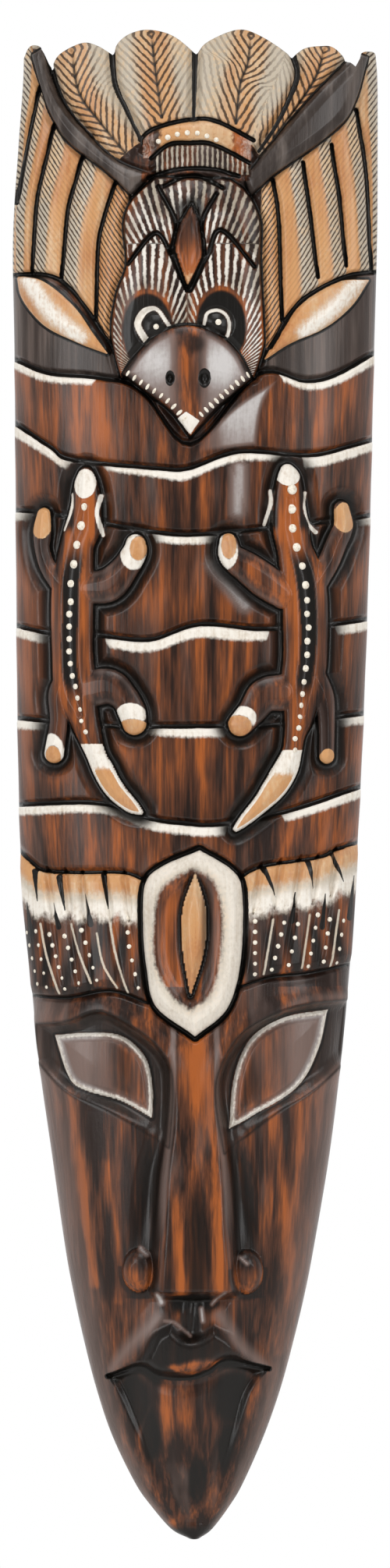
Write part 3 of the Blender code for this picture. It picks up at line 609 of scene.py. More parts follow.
# Unit normals of a grid of points, from its neighbours across and up.
def gridNormals(points):
    across, up = np.gradient(points, axis=1), np.gradient(points, axis=0)
    normal = np.cross(across, up)
    return normal / np.maximum(np.linalg.norm(normal, axis=-1, keepdims=True), 1e-12)


# One smooth mesh object from a grid of points, with its normals and its paint.
def gridObject(name, points, normals, coats, flipped=False):
    rows, columns = points.shape[:2]
    index = np.arange(rows * columns).reshape(rows, columns)
    corners = [index[:-1, :-1], index[:-1, 1:], index[1:, 1:], index[1:, :-1]]
    faces = np.stack(corners[::-1] if flipped else corners, axis=-1).reshape(-1, 4)
    mesh = bpy.data.meshes.new(name)
    mesh.from_pydata(points.reshape(-1, 3), [], faces)
    for key, values in coats.items():
        mesh.attributes.new(key, "FLOAT", "POINT").data.foreach_set("value", values.astype(np.float32).ravel())
    mesh.polygons.foreach_set("use_smooth", [True] * len(mesh.polygons))
    mesh.normals_split_custom_set_from_vertices((-normals if flipped else normals).reshape(-1, 3))
    mesh.update()
    thing = bpy.data.objects.new(name, mesh)
    bpy.context.scene.collection.objects.link(thing)
    return thing


# Coat of paint with its edge where the distance is 0, faded over the given width.
def level(distance, soft=1.0):
    return np.clip(0.5 + distance / soft, 0, 1)


# Adds an amount to a coat of paint where it isn't there yet.
def brush(coats, name, amount):
    coats[name] = np.maximum(coats[name], amount)


# Sets a coat of paint where the condition holds.
def put(coats, name, where, amount):
    coats[name] = np.where(where, amount, coats[name])


# Takes the named coats, or all but the undertone, off again under a new shape.
def wipe(coats, amount, *names):
    for name in names or ("cream", "ochre", "black", "slate", "soot", "sheen", "barb", "hair"):
        coats[name] = coats[name] * (1 - amount)


# Clears the coats under a shape, and returns how far the shape covers each place.
def cleared(coats, depth, grown, soft=1.0):
    over = level(depth + grown, soft)
    wipe(coats, over)
    return over


# Worn paint without strokes, greyer by the amount.
def worn(coats, where, amount):
    put(coats, "barb", where, amount)
    put(coats, "barbPhase", where, 0.5)


# Black line along a shape's edge, a little outside it.
def edged(coats, depth, half, out, soft):
    brush(coats, "black", level(half - abs(depth + out), soft))


# White paint, thickness over u, on the lip under each band's cut
lipPaint = [
    [(-120, 6), (-68, 5), (-64, 0), (54, 0), (58, 5), (120, 7)],
    [(-120, 8), (-84, 6), (-80, 0), (-62, 0), (-57, 4), (-40, 5), (-9, 7), (54, 5), (59, 0), (70, 0), (72, 8),
     (120, 7)],
    [(-120, 7), (-109, 6), (-107, 0), (-29, 0), (-26, 6), (13, 6), (16, 0), (104, 0), (107, 5), (120, 7)],
    [(-120, 7), (-98, 7), (-96, 0), (-60, 0), (-56, 7), (-20, 8), (22, 9), (47, 7), (49, 0), (92, 0), (94, 7),
     (120, 7)],
    [(-120, 7), (-99, 6), (-97, 0), (-36, 0), (-30, 5), (-7, 7), (20, 7), (23, 0), (92, 0), (94, 6), (120, 7)],
    [(-120, 7), (-50, 6), (-37, 7), (20, 7), (23, 0), (56, 0), (59, 6), (120, 7)],
]
# streaks of painted highlight on the breast
bandShines = ([(12, 647), (33, 620)], [(29, 710), (28, 682)])


# Brown bands with a black cut and a white lip that fades downwards, painted shade under each bare lip and towards
# the foot of each band, and streaks of painted highlight.
def paintBands(coats, u, v):
    tops = [curveHeight(u, points) for points in drawn["bands"]]
    for upper, lower, paint in zip(tops, tops[1:], lipPaint):
        down = upper - v
        thickness = np.interp(u, *zip(*paint))
        within = (v > lower) & (down > -4)
        white = np.minimum(level(down - 1.2, 0.9), level(thickness + 0.3 - down, 6.5)) * (thickness > 0.5)
        brush(coats, "cream", within * white)
        brush(coats, "black", within * level(1.5 - abs(down - 0.1), 1.2))
        # painted shade under the cut where no white lip is, and towards the foot of each band where it dips under
        # the next
        brush(coats, "soot", within * 0.5 * (1 - ease(down, 0, 22)) * (1 - ease(thickness, 0.5, 3)))
        brush(coats, "soot", within * 0.45 * ease(down, 0.45 * (upper - lower), upper - lower))
    for points in bandShines:
        brush(coats, "sheen", 1.45 * (1 - ease(lineDistance(u, v, points, 16), 0, 10)))
    breast = (v < tops[0]) & (v > tops[-1])
    darkMiddle = 0.2 * ease(v, 640, 700) * (1 - ease(abs(u), 20, 50))
    put(coats, "glow", breast, 0.42 + 0.25 * ease(abs(u), 25, 60) - darkMiddle - 0.15 * ease(u, 30, 50))


crestFoot = [(-122, 992), (-109, 990), (-102, 989), (-96, 967), (-88, 950), (-73, 932), (-52, 913), (-37, 926),
             (-26, 935), (-1, 941), (15, 939), (32, 930), (44, 917), (63, 938), (83, 961), (108, 986), (122, 992)]


# Barbs of the crest: each feather's paint follows its shaft.
def paintCrest(coats, u, v):
    foot = np.interp(u, *zip(*crestFoot))
    crest = level(v - foot, 1.5)
    nearest, run = np.full(u.shape, 40.0), np.zeros(u.shape)
    for shaft in drawn["crestShafts"]:
        distance, along = nearLine(u, v, shaft, 40.0)
        closer = distance < nearest
        length = 78 if abs(shaft[0][0]) > 60 else 52
        nearest = np.where(closer, distance, nearest)
        run = np.where(closer, (1 - along) * length, run)
    tip = crestEdge(u) - v
    brush(coats, "ochre", crest)
    brush(coats, "cream", crest * (0.35 + 0.5 * ease(nearest, 6, 19)))
    brush(coats, "soot", crest * 0.22 * (1 - ease(tip, 1, 12)) * (1 - ease(nearest, 3, 12)))
    put(coats, "barb", crest > 0.5, 0.32 + 0.62 * (1 - ease(nearest, 10, 18)))
    put(coats, "barbPhase", crest > 0.5, (run - nearest * 1.25) / 6.2)
    for shaft in drawn["crestShafts"]:
        distance, along = nearLine(u, v, shaft)
        brush(coats, "soot", crest * 0.9 * level(0.9 - distance, 0.9) * ease(along, 0, 0.15))
    for points in drawn["crestCuts"]:
        distance, along = nearLine(u, v, points)
        brush(coats, "black", level(2.2 - 1.1 * along - distance, 1.2))


# Wing feathers: white outer half, ochre inner half, slanting strokes.
def paintWings(coats, u, v):
    cuts = drawn["wingCuts"]
    for side, group, bone, leafCut in zip((-1, 1), (cuts[:4], cuts[:3:-1]), drawn["bones"], drawn["leafCuts"]):
        out = side * u
        boneV, leafV = (np.interp(out, *zip(*sorted((side * a, b) for a, b in line)))
                        for line in (bone[1], leafCut))
        boneV = np.where(out > 108, 992, boneV)
        left, right = sideLimits(v)
        edges = [side * (left if side < 0 else right) + 0 * u]
        for points in group:
            run = smoothRun(points)
            run = run[np.argsort(run[:, 1])]
            edges.append(np.interp(v, run[:, 1], side * run[:, 0]))
        edges.append(np.full(u.shape, 44.0))
        zone = (v < boneV) & (v > leafV) & (out > 44)
        for order, (outer, inner) in enumerate(zip(edges, edges[1:])):
            here = zone & (out <= outer) & (out > inner)
            share = (outer - out) / np.maximum(outer - inner, 1)
            last = order == len(edges) - 2
            white = level(0.48 - share, 0.3) * (0.3 if last else 1.0)
            put(coats, "ochre", here, 1.0)
            put(coats, "cream", here, white)
            put(coats, "barb", here, 0.95 - (0 if last else 0.8) * ease(share, 0.42, 0.6))
            put(coats, "barbPhase", here, (v - 1.5 * out) / 4.6 + order * 0.37)
        for points in group:
            brush(coats, "black", zone * level(1.45 - lineDistance(u, v, points), 1.1))
    for runs in drawn["bones"]:
        depth = insideDepth(u, v, runs)
        over = cleared(coats, depth, 0.5, 1.2)
        brush(coats, "slate", over)
        edged(coats, depth, 0.8, 1.2, 1.2)
    brush(coats, "cream", level(0.8 - lineDistance(u, v, [(-42, 890), (-25, 898)]), 1.0))


leafBright = ([(-110, 836), (-96, 815), (-76, 797)], [(112, 842), (94, 819), (72, 800)])


# Leaves: ochre with a white streak, and dark wood below them.
def paintLeaves(coats, u, v):
    for runs, cutLine, streak in zip(drawn["leaves"], drawn["leafCuts"], leafBright):
        below = lineDistance(u, v, [(a, b - 12) for a, b in runs[1]], 30.0)
        under = (v < curveHeight(u, sorted(runs[1]))) & (v > curveHeight(u, drawn["bands"][0])) & (abs(u) > 46)
        brush(coats, "slate", under * 0.75 * (1 - ease(below, 14, 26)))
        depth = insideDepth(u, v, runs)
        over = cleared(coats, depth, 0.3, 1.0)
        brush(coats, "ochre", over)
        bright = lineDistance(u, v, streak, 20)
        brush(coats, "cream", 0.66 * over * (1 - ease(bright, 0, 15)))
        worn(coats, over > 0.5, 0.2 * ease(bright, 1, 7))
        edged(coats, depth, 0.9, 1.2, 1.2)
        brush(coats, "black", level(1.5 - lineDistance(u, v, cutLine), 1.2))


birdPaint = {
    "fans": [(-2, 800, 110), (-30, 770, 88), (18, 770, 88)],  # middle and strokes per turn: crown, left, right
    "rings": [([(-31, 793), (-37, 804), (-34, 812), (-29, 815), (-24, 814), (-17, 804)], 2.3, 1.3),
              ([(6, 805), (8, 812), (14, 814), (19, 812), (22, 807), (22, 801), (21, 797)], 1.15, 1.15)],
    "patches": [(-31, 801, 16, 24), (17, 803, 16, 24)],
    "brow": (-3, 880, 14, 14),
    "beakRoot": (0, 792, 10, 10),
    # spots of painted highlight on the beak
    "beakShines": [((17, 778, 18, 24), 0.75), ((-25, 780, 20, 22), 0.55)],
    "tip": [[(-6, 747), (-12, 742)], [(-12, 742), (-3, 732)], [(-3, 732), (3, 741)], [(3, 741), (-6, 747)]],
    # outline of the patch of painted highlight on the breast
    "glint": [[(0, 726), (20, 747), (37, 760), (58, 772)], [(58, 772), (48, 757), (44, 744), (42, 724)],
              [(42, 724), (20, 721), (0, 718)], [(0, 718), (0, 726)]],
}


# Collar of the bird, pale above and striped below.
def paintCollar(coats, u, v):
    arcs = [curveHeight(u, points) for points in drawn["collarArcs"]]
    side = abs(u - 1)
    collar = (side < 36) & (v < arcs[0]) & (v > arcs[2] - 3)
    pale = collar & (v > arcs[1])
    striped = collar & (v < arcs[1] - 2) & (v > arcs[2] + 1) & (abs(u - 5) < 31)
    wipe(coats, collar.astype(float))
    put(coats, "glow", collar, np.where(pale, 0.5, 0.15))
    brush(coats, "ochre", pale * 0.62 * (1 - ease(side, 20, 34)))
    brush(coats, "cream", pale * 0.42 * ease(side, 12, 34))
    put(coats, "hair", striped, 1.0)
    put(coats, "hairPhase", collar, u / 3.3)
    for points in drawn["collarArcs"]:
        brush(coats, "black", level(1.6 - lineDistance(u, v, points), 1.2))


# Head with white strokes that fan round the eyes, ringed eyes, and black cuts between the scales.
def paintHead(coats, u, v):
    depth = insideDepth(u, v, drawn["head"])
    over = cleared(coats, depth, 0.5, 1.0)
    put(coats, "glow", over > 0.5, 0.12 + 0.3 * (1 - ease(v, 812, 832)))
    crown, left, right = [np.arctan2(u - a, v - b) * strokes / math.tau for a, b, strokes in birdPaint["fans"]]
    put(coats, "hairPhase", over > 0.5, np.select([v > 858, u < -5], [crown, left], right))
    brush(coats, "hair", over * level(depth - 1.2, 2) * (0.75 + 0.25 * ease(v, 812, 826)))
    edged(coats, depth, 1.0, 1.0, 1.2)
    brush(coats, "soot", over * 0.8 * ease(oval(u, v, birdPaint["brow"]), 0, 0.6))
    rim = over * ease(v, 808, 824)
    for spot, (ring, thick, thin) in zip(birdPaint["patches"], birdPaint["rings"]):
        patch = oval(u, v, spot)
        brush(coats, "glow", 0.7 * rim * ease(patch, -0.4, 0))
        wipe(coats, over * ease(patch, -0.1 - 0.2 * rim, 0.0), "hair")
        brush(coats, "soot", over * ease(patch, -0.08, 0.06) * 0.97)
        distance, along = nearLine(u, v, ring)
        white = level(thick + (thin - thick) * ease(along, 0.3, 0.8) - distance, 0.9)
        wipe(coats, white, "soot", "black", "hair")
        brush(coats, "cream", white)
    for points in drawn["headCuts"]:
        distance = lineDistance(u, v, points)
        wipe(coats, level(2.0 - distance, 1.0), "hair")
        brush(coats, "black", level(1.5 - distance, 1.2))
    blade = insideDepth(u, v, drawn["blade"])
    wipe(coats, level(blade, 1), "soot", "hair")
    put(coats, "glow", blade > 0, 0.8 - 0.75 * ease(v, 840, 872))
    brush(coats, "ochre", level(blade, 1) * 0.55 * (1 - ease(v, 835, 850)))
    edged(coats, blade, 1.0, 0.8, 1.0)


# Beak, orange along its middle with painted highlights at both sides, and a patch of painted highlight on the
# breast beside it.
def paintBeak(coats, u, v):
    beak = insideDepth(u, v, drawn["beak"], 30)
    over = cleared(coats, beak, 0.3, 1.0)
    middle = abs(u + 4)
    put(coats, "glow", over > 0.5, 0.42 * (1 - ease(middle, 3, 14)) + 0.1)
    # painted highlights on both sides of the beak
    shine = 1.2 + sum(gain * ease(oval(u, v, spot), 0, 1) for spot, gain in birdPaint["beakShines"])
    brush(coats, "sheen", over * shine * ease(middle, 3, 14) * ease(beak, 0, 6))
    brush(coats, "soot", over * 0.75 * ease(oval(u, v, birdPaint["beakRoot"]), 0, 0.7))
    brush(coats, "soot", over * 0.35 * (1 - ease(beak, 1, 5)) * ease(middle, 8, 20))
    edged(coats, beak, 1.1, 0.9, 1.0)
    # patch of painted highlight on the breast, with the dark coat cleared under it
    glint = ease(insideDepth(u, v, birdPaint["glint"]), 0, 5)
    brush(coats, "sheen", (1.3 + 0.4 * ease(v, 720, 750)) * glint * ease(u, -4, 24))
    wipe(coats, glint, "soot")
    for a, b, size in drawn["beakHoles"]:
        brush(coats, "black", level(size - np.hypot(u - a, (v - b) * 0.6), 1.0))
    brush(coats, "cream", level(insideDepth(u, v, birdPaint["tip"]), 0.9))


geckoPaint = [
    {
        "spine": [(-72, 685), (-74, 673), (-77, 660), (-79, 647), (-81, 634), (-81, 613), (-82, 594), (-81, 573),
                  (-78, 560), (-74, 544), (-71, 536)],
        "headEgg": (-72, 700, 7.2, 9.8),
        "eyes": [[(-81, 693), (-81, 683), (-86, 670)], [(-62, 692), (-64, 680), (-61, 666)]],
        "whiteFeet": [(-40, 655, 9, 12), (-42, 547, 10, 8), (-94, 523, 8, 12)],
        "ochreFeet": [(-101, 675, 7, 11), (-93, 520, 5, 7), (-41, 538, 11, 6.5), (-37, 657, 5.5, 8)],
        "tailFrom": 528,
    },
    {
        "spine": [(63, 696), (64, 667), (67, 655), (70, 645), (73, 623), (74, 604), (73, 585), (71, 569), (69, 552),
                  (67, 537), (65, 524)],
        "headEgg": (61, 706, 8, 7.5),
        "eyes": [[(50, 695), (50, 686), (46, 673)], [(73, 694), (72, 683), (76, 673), (80, 668)]],
        "whiteFeet": [(20, 656, 8, 13), (31, 545, 9, 8)],
        "ochreFeet": [(22, 659, 5, 9), (98, 678, 7, 10), (28, 540, 9, 7), (87, 519, 5, 6)],
        "tailFrom": 524,
    },
]


# Geckos: orange sides, black back, white head and tail, ochre feet, painted highlight along the legs, and dark
# airbrush with painted shade in the cut-away ground around them.
def paintGeckos(coats, u, v):
    for limbs, marks in zip(drawn["geckos"], geckoPaint):
        depth = np.max([limbDepth(u, v, limb, 22) for limb in limbs], axis=0)
        # dark airbrush and painted shade in the ground cut away round the gecko
        brush(coats, "soot", ease(depth, -21, -1) ** 1.6)
        over = cleared(coats, depth, 0.4, 0.9)
        body = over > 0.5
        trunk = limbDepth(u, v, limbs[0])
        legGlow = 0.2 + 0.2 * ease(depth, 2, 7)
        put(coats, "glow", body, np.where(trunk > 0, 0.35 + 0.35 * ease(trunk, 1, 5), legGlow))
        edged(coats, depth, 0.9, 0.9, 0.9)
        # painted highlight along the edges of the legs
        brush(coats, "sheen", 0.4 * over * (trunk < 0) * (1 - ease(depth, 2, 5)))
        egg = level(oval(u, v, marks["headEgg"]) * 7, 0.9)
        neck = (trunk > 0) * ease(abs(u - marks["headEgg"][0]), 5.5, 8) * ease(v, 664, 674) * (1 - egg)
        brush(coats, "soot", 0.9 * over * neck)
        distance, along = nearLine(u, v, marks["spine"], 16)
        back = level(6.4 - 2.2 * along - distance, 3) * ease(v, 548, 572) * (1 - ease(v, 642, 668))
        brush(coats, "soot", over * 0.97 * back)
        brush(coats, "cream", body * egg)
        for eye in marks["eyes"]:
            white = level(1.3 - lineDistance(u, v, eye), 0.9)
            wipe(coats, white, "soot", "black")
            brush(coats, "cream", white)
        for spot in marks["whiteFeet"]:
            brush(coats, "cream", body * level(oval(u, v, spot) * 8, 2))
        for spot in marks["ochreFeet"]:
            dab = body * level(oval(u, v, spot) * 7, 2.5)
            wipe(coats, dab, "cream")
            brush(coats, "ochre", dab)
        tail = (trunk > 0) * level(marks["tailFrom"] - v, 2)
        brush(coats, "ochre", tail)
        white = level(v - marks["tailFrom"] + 16 + 6 * (depth < 2.2), 9)
        brush(coats, "cream", tail * np.maximum(white, level(2 - depth, 1.2)))


wedges = [
    [(-60, 442), (-57, 419)], [(-89, 440), (-85, 418)], [(-105, 444), (-103, 424)], [(-72, 429), (-68, 409)],
    [(-93, 423), (-89, 407)], [(-110, 423), (-107, 402)], [(45, 446), (53, 427)], [(74, 450), (78, 432)],
    [(90, 456), (97, 437)], [(66, 430), (63, 411)], [(85, 429), (83, 407)], [(104, 441), (101, 413)],
]
hairLines = [
    [(-56, 419), (-54, 400), (-50, 382), (-44, 364)], [(-64, 403), (-60, 383), (-51, 367)],
    [(-81, 409), (-76, 391), (-68, 370)], [(-101, 409), (-97, 388), (-89, 363)], [(51, 412), (45, 376)],
    [(75, 415), (70, 380)], [(94, 418), (89, 381)],
]


# Fringe from ochre through white to dark brown, with black gaps and white hairs.
def paintFringe(coats, u, v):
    for runs in drawn["fringes"]:
        depth = insideDepth(u, v, runs)
        over = cleared(coats, depth, 0.4, 0.9)
        down = curveHeight(u, runs[0]) - v
        slant = u + (v - 400) * 0.22 * np.sign(u)
        strand = 0.5 + 0.5 * np.cos(slant * math.tau / 15.5)
        put(coats, "glow", over > 0.5, 0.25 - 0.15 * ease(down, 30, 60) + 0.38 * (1 - strand))
        worn(coats, over > 0.5, 0.2 * ease(abs(down - 25), 2, 10))
        fade = 1.0 - 0.55 * ease(down, 18, 30 + 8 * strand) - 0.45 * ease(down, 28, 44)
        brush(coats, "ochre", over * level(18 - down, 8))
        brush(coats, "cream", over * np.minimum(level(down - 12, 18), fade))
        brush(coats, "soot", over * 0.75 * strand ** 2 * ease(down, 34, 48))
        brush(coats, "soot", over * 0.5 * ease(down, 62, 84))
        edged(coats, depth, 1.1, 1.0, 1.2)
    for order, ((a, b), (c, d)) in enumerate(wedges):
        wide, thin = (1.9, 0.3) if order % 6 < 3 else (0.3, 2.0)
        brush(coats, "black", level(limbDepth(u, v, [(a, b, wide), (c, d, thin)]), 1.2))
    for points in hairLines:
        white = level(0.8 - lineDistance(u, v, points), 0.9)
        wipe(coats, white, "soot")
        brush(coats, "cream", 0.9 * white)


# Jewel: white ring, orange well with a dark band and painted sheen on its right side, and painted shade in the cut
# round the ochre spindle.
def paintJewel(coats, u, v):
    jewel = insideDepth(u, v, drawn["jewel"], 20)
    over = cleared(coats, jewel, 0.3, 0.9)
    brush(coats, "cream", over)
    edged(coats, jewel, 1.8, 1.7, 1.2)
    well = insideDepth(u, v, drawn["jewelWell"])
    inner = level(well + 1.5, 9)
    worn(coats, over > 0.5, 0.1 + 0.2 * ease(well, -7, -1))
    wipe(coats, inner)
    put(coats, "glow", well > -2, 0.62 - 0.25 * ease(u, 0, 8))
    # painted sheen on the right side of the well
    brush(coats, "sheen", 0.4 * inner * ease(u, 2, 10))
    brush(coats, "soot", 0.6 * inner * ease(u, 2, 6) * (1 - ease(u, 9, 14)))
    spindle = insideDepth(u, v, drawn["spindle"])
    # painted shade in the cut round the spindle
    brush(coats, "soot", inner * 0.95 * ease(spindle, -5.5, -1.5) * (spindle < 0))
    brush(coats, "ochre", level(spindle + 0.3, 1.0))


facePaint = {
    "noseFoot": 161,
    # folds that carry painted sheen
    "folds": [[(-24, 149), (-42, 131), (-55, 114)], [(16, 151), (29, 131), (45, 116)]],
    "lobe": [(-18, 117), (-6, 115), (8, 117), (18, 121)],
    "chinPatch": (-15, 90, 14, 26),
    "chiselled": [(-42, 92, 16, 30), (27, 96, 24, 26), (24, 60, 12, 26), (2, 40, 9, 24), (-30, 70, 9, 26)],
    "streaks": [([(50, 300), (58, 240), (62, 180), (56, 125)], 4.5, 0.75),
                ([(-84, 300), (-76, 240), (-66, 170)], 3.0, 0.7),
                ([(30, 250), (36, 215), (44, 170), (40, 140)], 3.0, 0.5),
                ([(-60, 250), (-52, 200), (-50, 160)], 4.0, 0.55)],
    # short strokes of painted highlight
    "glints": [([(-24, 164), (-22, 159)], 2.6), ([(-20, 147), (-13, 145.5), (-3, 137)], 0.9),
               ([(4, 155), (5, 147)], 1.7), ([(11, 158), (18, 166)], 1.2), ([(-36, 195), (-31, 191)], 1.6),
               ([(29, 189), (33, 185)], 1.3)],
}


# Skin of the face: brown with orange streaks, with painted sheen towards the sides.
def paintSkin(coats, u, v):
    left, right = sideLimits(v)
    sides = ease(abs(2 * u - left - right) / (right - left), 0.62, 0.95)
    put(coats, "glow", v < 368, 0.2 + 0.1 * np.sin(u / 9) + 0.12 * (u > 0))
    for points, wide, bright in facePaint["streaks"]:
        brush(coats, "glow", bright * (1 - ease(lineDistance(u, v, points), 0, wide * 2)))
    brush(coats, "sheen", 0.75 * level(364 - v, 6) * (coats["black"] < 0.5) * sides)


# Sockets darkened with dark paint and painted shade, with some painted sheen, and eyeballs with white rims and
# painted highlights.
def paintEyes(coats, u, v):
    outer = ease(abs(u), 44, 72)
    for socket, eye in zip(drawn["sockets"], drawn["eyes"]):
        depth = insideDepth(u, v, socket, 20)
        ball = insideDepth(u, v, eye, 20)
        # painted shade and dark paint in the socket, and painted sheen on its floor
        brush(coats, "soot", 0.72 * ease(depth, -3, 4) * (ball < 0))
        brush(coats, "sheen", 0.5 * ease(depth, 0, 4) * (ball < -2))
        brush(coats, "soot", 0.9 * level(0.9 - abs(depth + 0.4), 2.5))
        brush(coats, "soot", 0.95 * (1 - ease(-ball, 1, 5)) * (ball < 0))
        wipe(coats, level(ball + 0.3, 0.9))
        put(coats, "glow", ball > 0, 0.5)
        brush(coats, "cream", np.minimum(level(ball + 0.1, 0.9), level(2.4 - ball, 6.0)))
        # painted highlight on the eyeball
        brush(coats, "sheen", ease(ball, 0, 3) * (0.3 + 0.75 * outer + 0.5 * (1 - ease(ball, 2, 7))))
        brush(coats, "soot", 0.62 * ease(ball, 3, 9) * (1 - outer) * (0.5 + 0.5 * np.sin(u / 4.5)))


# Nose: orange bridge, dark middle further down, painted highlights on its flanks, and painted shade in the troughs
# beside it, under its tip and under its wings.
def paintNose(coats, u, v):
    flank = abs(u) / noseShape(v)[1]
    along = (v > facePaint["noseFoot"]) & (v < 345)
    low = along * (1 - ease(v, 215, 255))
    bridge = 0.78 * (1 - ease(flank, 0.5, 1.1)) * (0.45 + 0.55 * ease(v, 245, 300))
    brush(coats, "glow", along * bridge)
    # painted shade in the troughs beside the nose
    brush(coats, "soot", along * 0.75 * (1 - ease(abs(flank - 1.4), 0.15, 0.6)) * (1 - ease(v, 250, 290)))
    brush(coats, "glow", 0.85 * low * (1 - ease(abs(abs(u - 1) - 12), 2, 7)))
    brush(coats, "soot", low * 0.88 * (1 - ease(abs(u - 1), 2, 10)))
    # painted highlights along the flanks
    brush(coats, "sheen", along * 0.8 * (1 - ease(abs(flank - 0.95), 0.06, 0.2)) * ease(v, 185, 230))
    # painted shade under the tip of the nose
    brush(coats, "soot", 0.97 * (1 - ease(abs(u), 13, 21)) * level(164.5 - v, 1.5) * ease(v, 146, 158))
    for a, b, size in drawn["nostrils"]:
        away = 1 - oval(u, v, (a, b, size, size * mask["nostrilStretch"]))
        put(coats, "soot", away < 1.05, 0.1 + 0.4 * ease(v - b, -2, 10))
        put(coats, "glow", away < 1.05, 0.8 - 0.4 * ease(v - b, -4, 8))
        # painted shade under the nostril wings
        brush(coats, "soot", 0.7 * (1 - ease(abs(away - 1.25), 0.05, 0.3)) * (v < b + 3))


# Dark lips with a lighter lobe, painted sheen on the folds beside them, small painted highlights, painted shade in
# the groove under the nose, and the cut of the mouth.
def paintMouth(coats, u, v):
    # painted shade in the groove under the nose
    brush(coats, "soot", 0.85 * level(7 - lineDistance(u, v, [(-1, 158), (-3, 138)]), 9))
    brush(coats, "soot", 0.85 * level(insideDepth(u, v, drawn["lip"], 20), 5))
    for points in facePaint["folds"]:
        distance = lineDistance(u, v, points)
        # painted sheen on the folds
        brush(coats, "sheen", 0.95 * level(4.5 - distance, 8))
        wipe(coats, 0.8 * level(4.0 - distance, 5), "soot")
    for points, wide in facePaint["glints"]:
        distance = lineDistance(u, v, points)
        wipe(coats, level(wide - distance, 2), "soot")
        # small painted highlights
        brush(coats, "sheen", 1.75 * level(wide * 0.8 - distance, 3))
    distance, along = nearLine(u, v, facePaint["lobe"])
    lobe = level(5.5 * np.sin(along * math.pi) - distance, 4)
    wipe(coats, lobe, "soot")
    brush(coats, "glow", 0.8 * lobe)
    brush(coats, "black", level(2.0 - lineDistance(u, v, drawn["mouthCut"]), 2.5))


# Chin: an orange patch between chiselled places darkened with dark paint and painted shade, and painted shade under
# the lip.
def paintChin(coats, u, v):
    chin = insideDepth(u, v, drawn["chin"], 26)
    belowMouth = 1 - ease(lineDistance(u, v, drawn["mouthCut"]), 3, 11)
    # painted shade under the lip at both sides
    brush(coats, "soot", 0.95 * (chin > 0) * belowMouth * ease(abs(u + 2), 10, 24))
    spot = oval(u, v, facePaint["chinPatch"])
    put(coats, "glow", chin > 0, 0.2 + 0.62 * ease(spot, -0.2, 0.6))
    for patch in facePaint["chiselled"]:
        brush(coats, "soot", 0.9 * level(chin, 3) * ease(oval(u, v, patch), 0.0, 0.5) * (1 - ease(spot, 0, 0.3)))
    brush(coats, "soot", 0.9 * (1 - ease(v, 4, 13)))


# The darkest soft coat is airbrushed dark paint together with painted shade in cuts, recesses and under overhangs.
coatNames = ("cream", "ochre", "black", "slate", "soot", "glow", "sheen", "barb", "barbPhase", "hair", "hairPhase")
paintLayers = (paintBands, paintCrest, paintWings, paintLeaves, paintCollar, paintHead, paintBeak, paintGeckos,
               paintFringe, paintJewel, paintSkin, paintEyes, paintNose, paintMouth, paintChin)


# All coats of paint at the points u, v of the sheet.
def paintCoats(u, v):
    coats = {name: np.zeros(u.shape) for name in coatNames}
    # painted sheen at both sides of the half log, standing for the reflection of the side lights
    coats["sheen"] = 0.55 * ease(abs(u), 78, 118)
    for layer in paintLayers:
        layer(coats, u, v)
        print("painted", layer.__name__)
    return coats


# Dots and ticks of thick paint: a row is (points of a path, how many, radius in mm at its start and end)
dabs = {
    "thick": 0.42,
    "rows": [
        ([(-24, 926), (-12, 930.5), (1, 931.5), (14, 927)], 7, 1.7, 1.6),
        ([(-25, 803), (-25, 803.1)], 1, 1.9, 1.9),
        ([(15, 806), (15, 806.1)], 1, 1.9, 1.9),
        ([(-72, 685), (-74, 673), (-77, 660), (-79, 647), (-81, 634)], 5, 3.1, 2.7),
        ([(-81, 622), (-82, 613), (-82, 602), (-82, 594), (-82, 586), (-81, 579), (-80, 573)], 7, 2.2, 1.9),
        ([(-78, 566), (-77, 560), (-75, 551), (-74, 544), (-71, 536)], 5, 1.9, 1.5),
        ([(63, 696), (63, 680), (64, 667), (67, 655), (70, 645), (72, 633)], 6, 3.2, 2.4),
        ([(73, 623), (73, 614), (74, 604), (73, 594), (73, 585), (72, 577), (71, 569)], 7, 2.3, 2.0),
        ([(70, 561), (69, 552), (68, 545), (67, 537), (65, 532), (65, 524)], 6, 2.0, 1.6),
        ([(-44, 413), (-43, 395), (-37, 367)], 6, 1.5, 1.3),
        ([(-74, 405), (-64, 372)], 5, 1.5, 1.2),
        ([(-85, 401), (-76, 370)], 5, 1.5, 1.2),
        ([(-95, 402), (-85, 366)], 6, 1.5, 1.2),
        ([(-104, 404), (-97, 367)], 5, 1.4, 1.2),
        ([(-110, 403), (-103, 369)], 5, 1.4, 1.2),
        ([(39, 418), (39, 376)], 7, 1.5, 1.4),
        ([(58, 410), (50, 379)], 5, 1.5, 1.3),
        ([(67, 409), (61, 382)], 4, 1.5, 1.3),
        ([(80, 415), (74, 381)], 5, 1.5, 1.3),
        ([(88, 412), (84, 384)], 4, 1.5, 1.3),
        ([(97, 411), (93, 383)], 4, 1.5, 1.3),
    ],
    "teeth": [([(-45, 770), (-33, 761.5), (-24, 755.5), (-16, 748.5), (-9, 740.5)], 10),
              ([(36, 769), (27, 762), (17, 753), (6, 743)], 10)],
    "toothSize": (2.5, 1.05),
    "toothInset": 3.0,
    "grown": 1.05,
    "normalStep": 0.8,
    "nodes": {"Rounds": 14, "Unevenness": 0.1, "Seed": 5},
}


# Evenly spaced places along a path, with its direction at each.
def alongPath(points, count):
    run = smoothRun(points)
    steps = np.hypot(*np.diff(run, axis=0).T)
    reach = np.concatenate([[0], np.cumsum(steps)])
    at = np.linspace(0, reach[-1], count)
    place, ahead, behind = [np.stack([np.interp(at + step, reach, run[:, i]) for i in (0, 1)], axis=-1)
                            for step in (0, 0.5, -0.5)]
    return place, ahead - behind


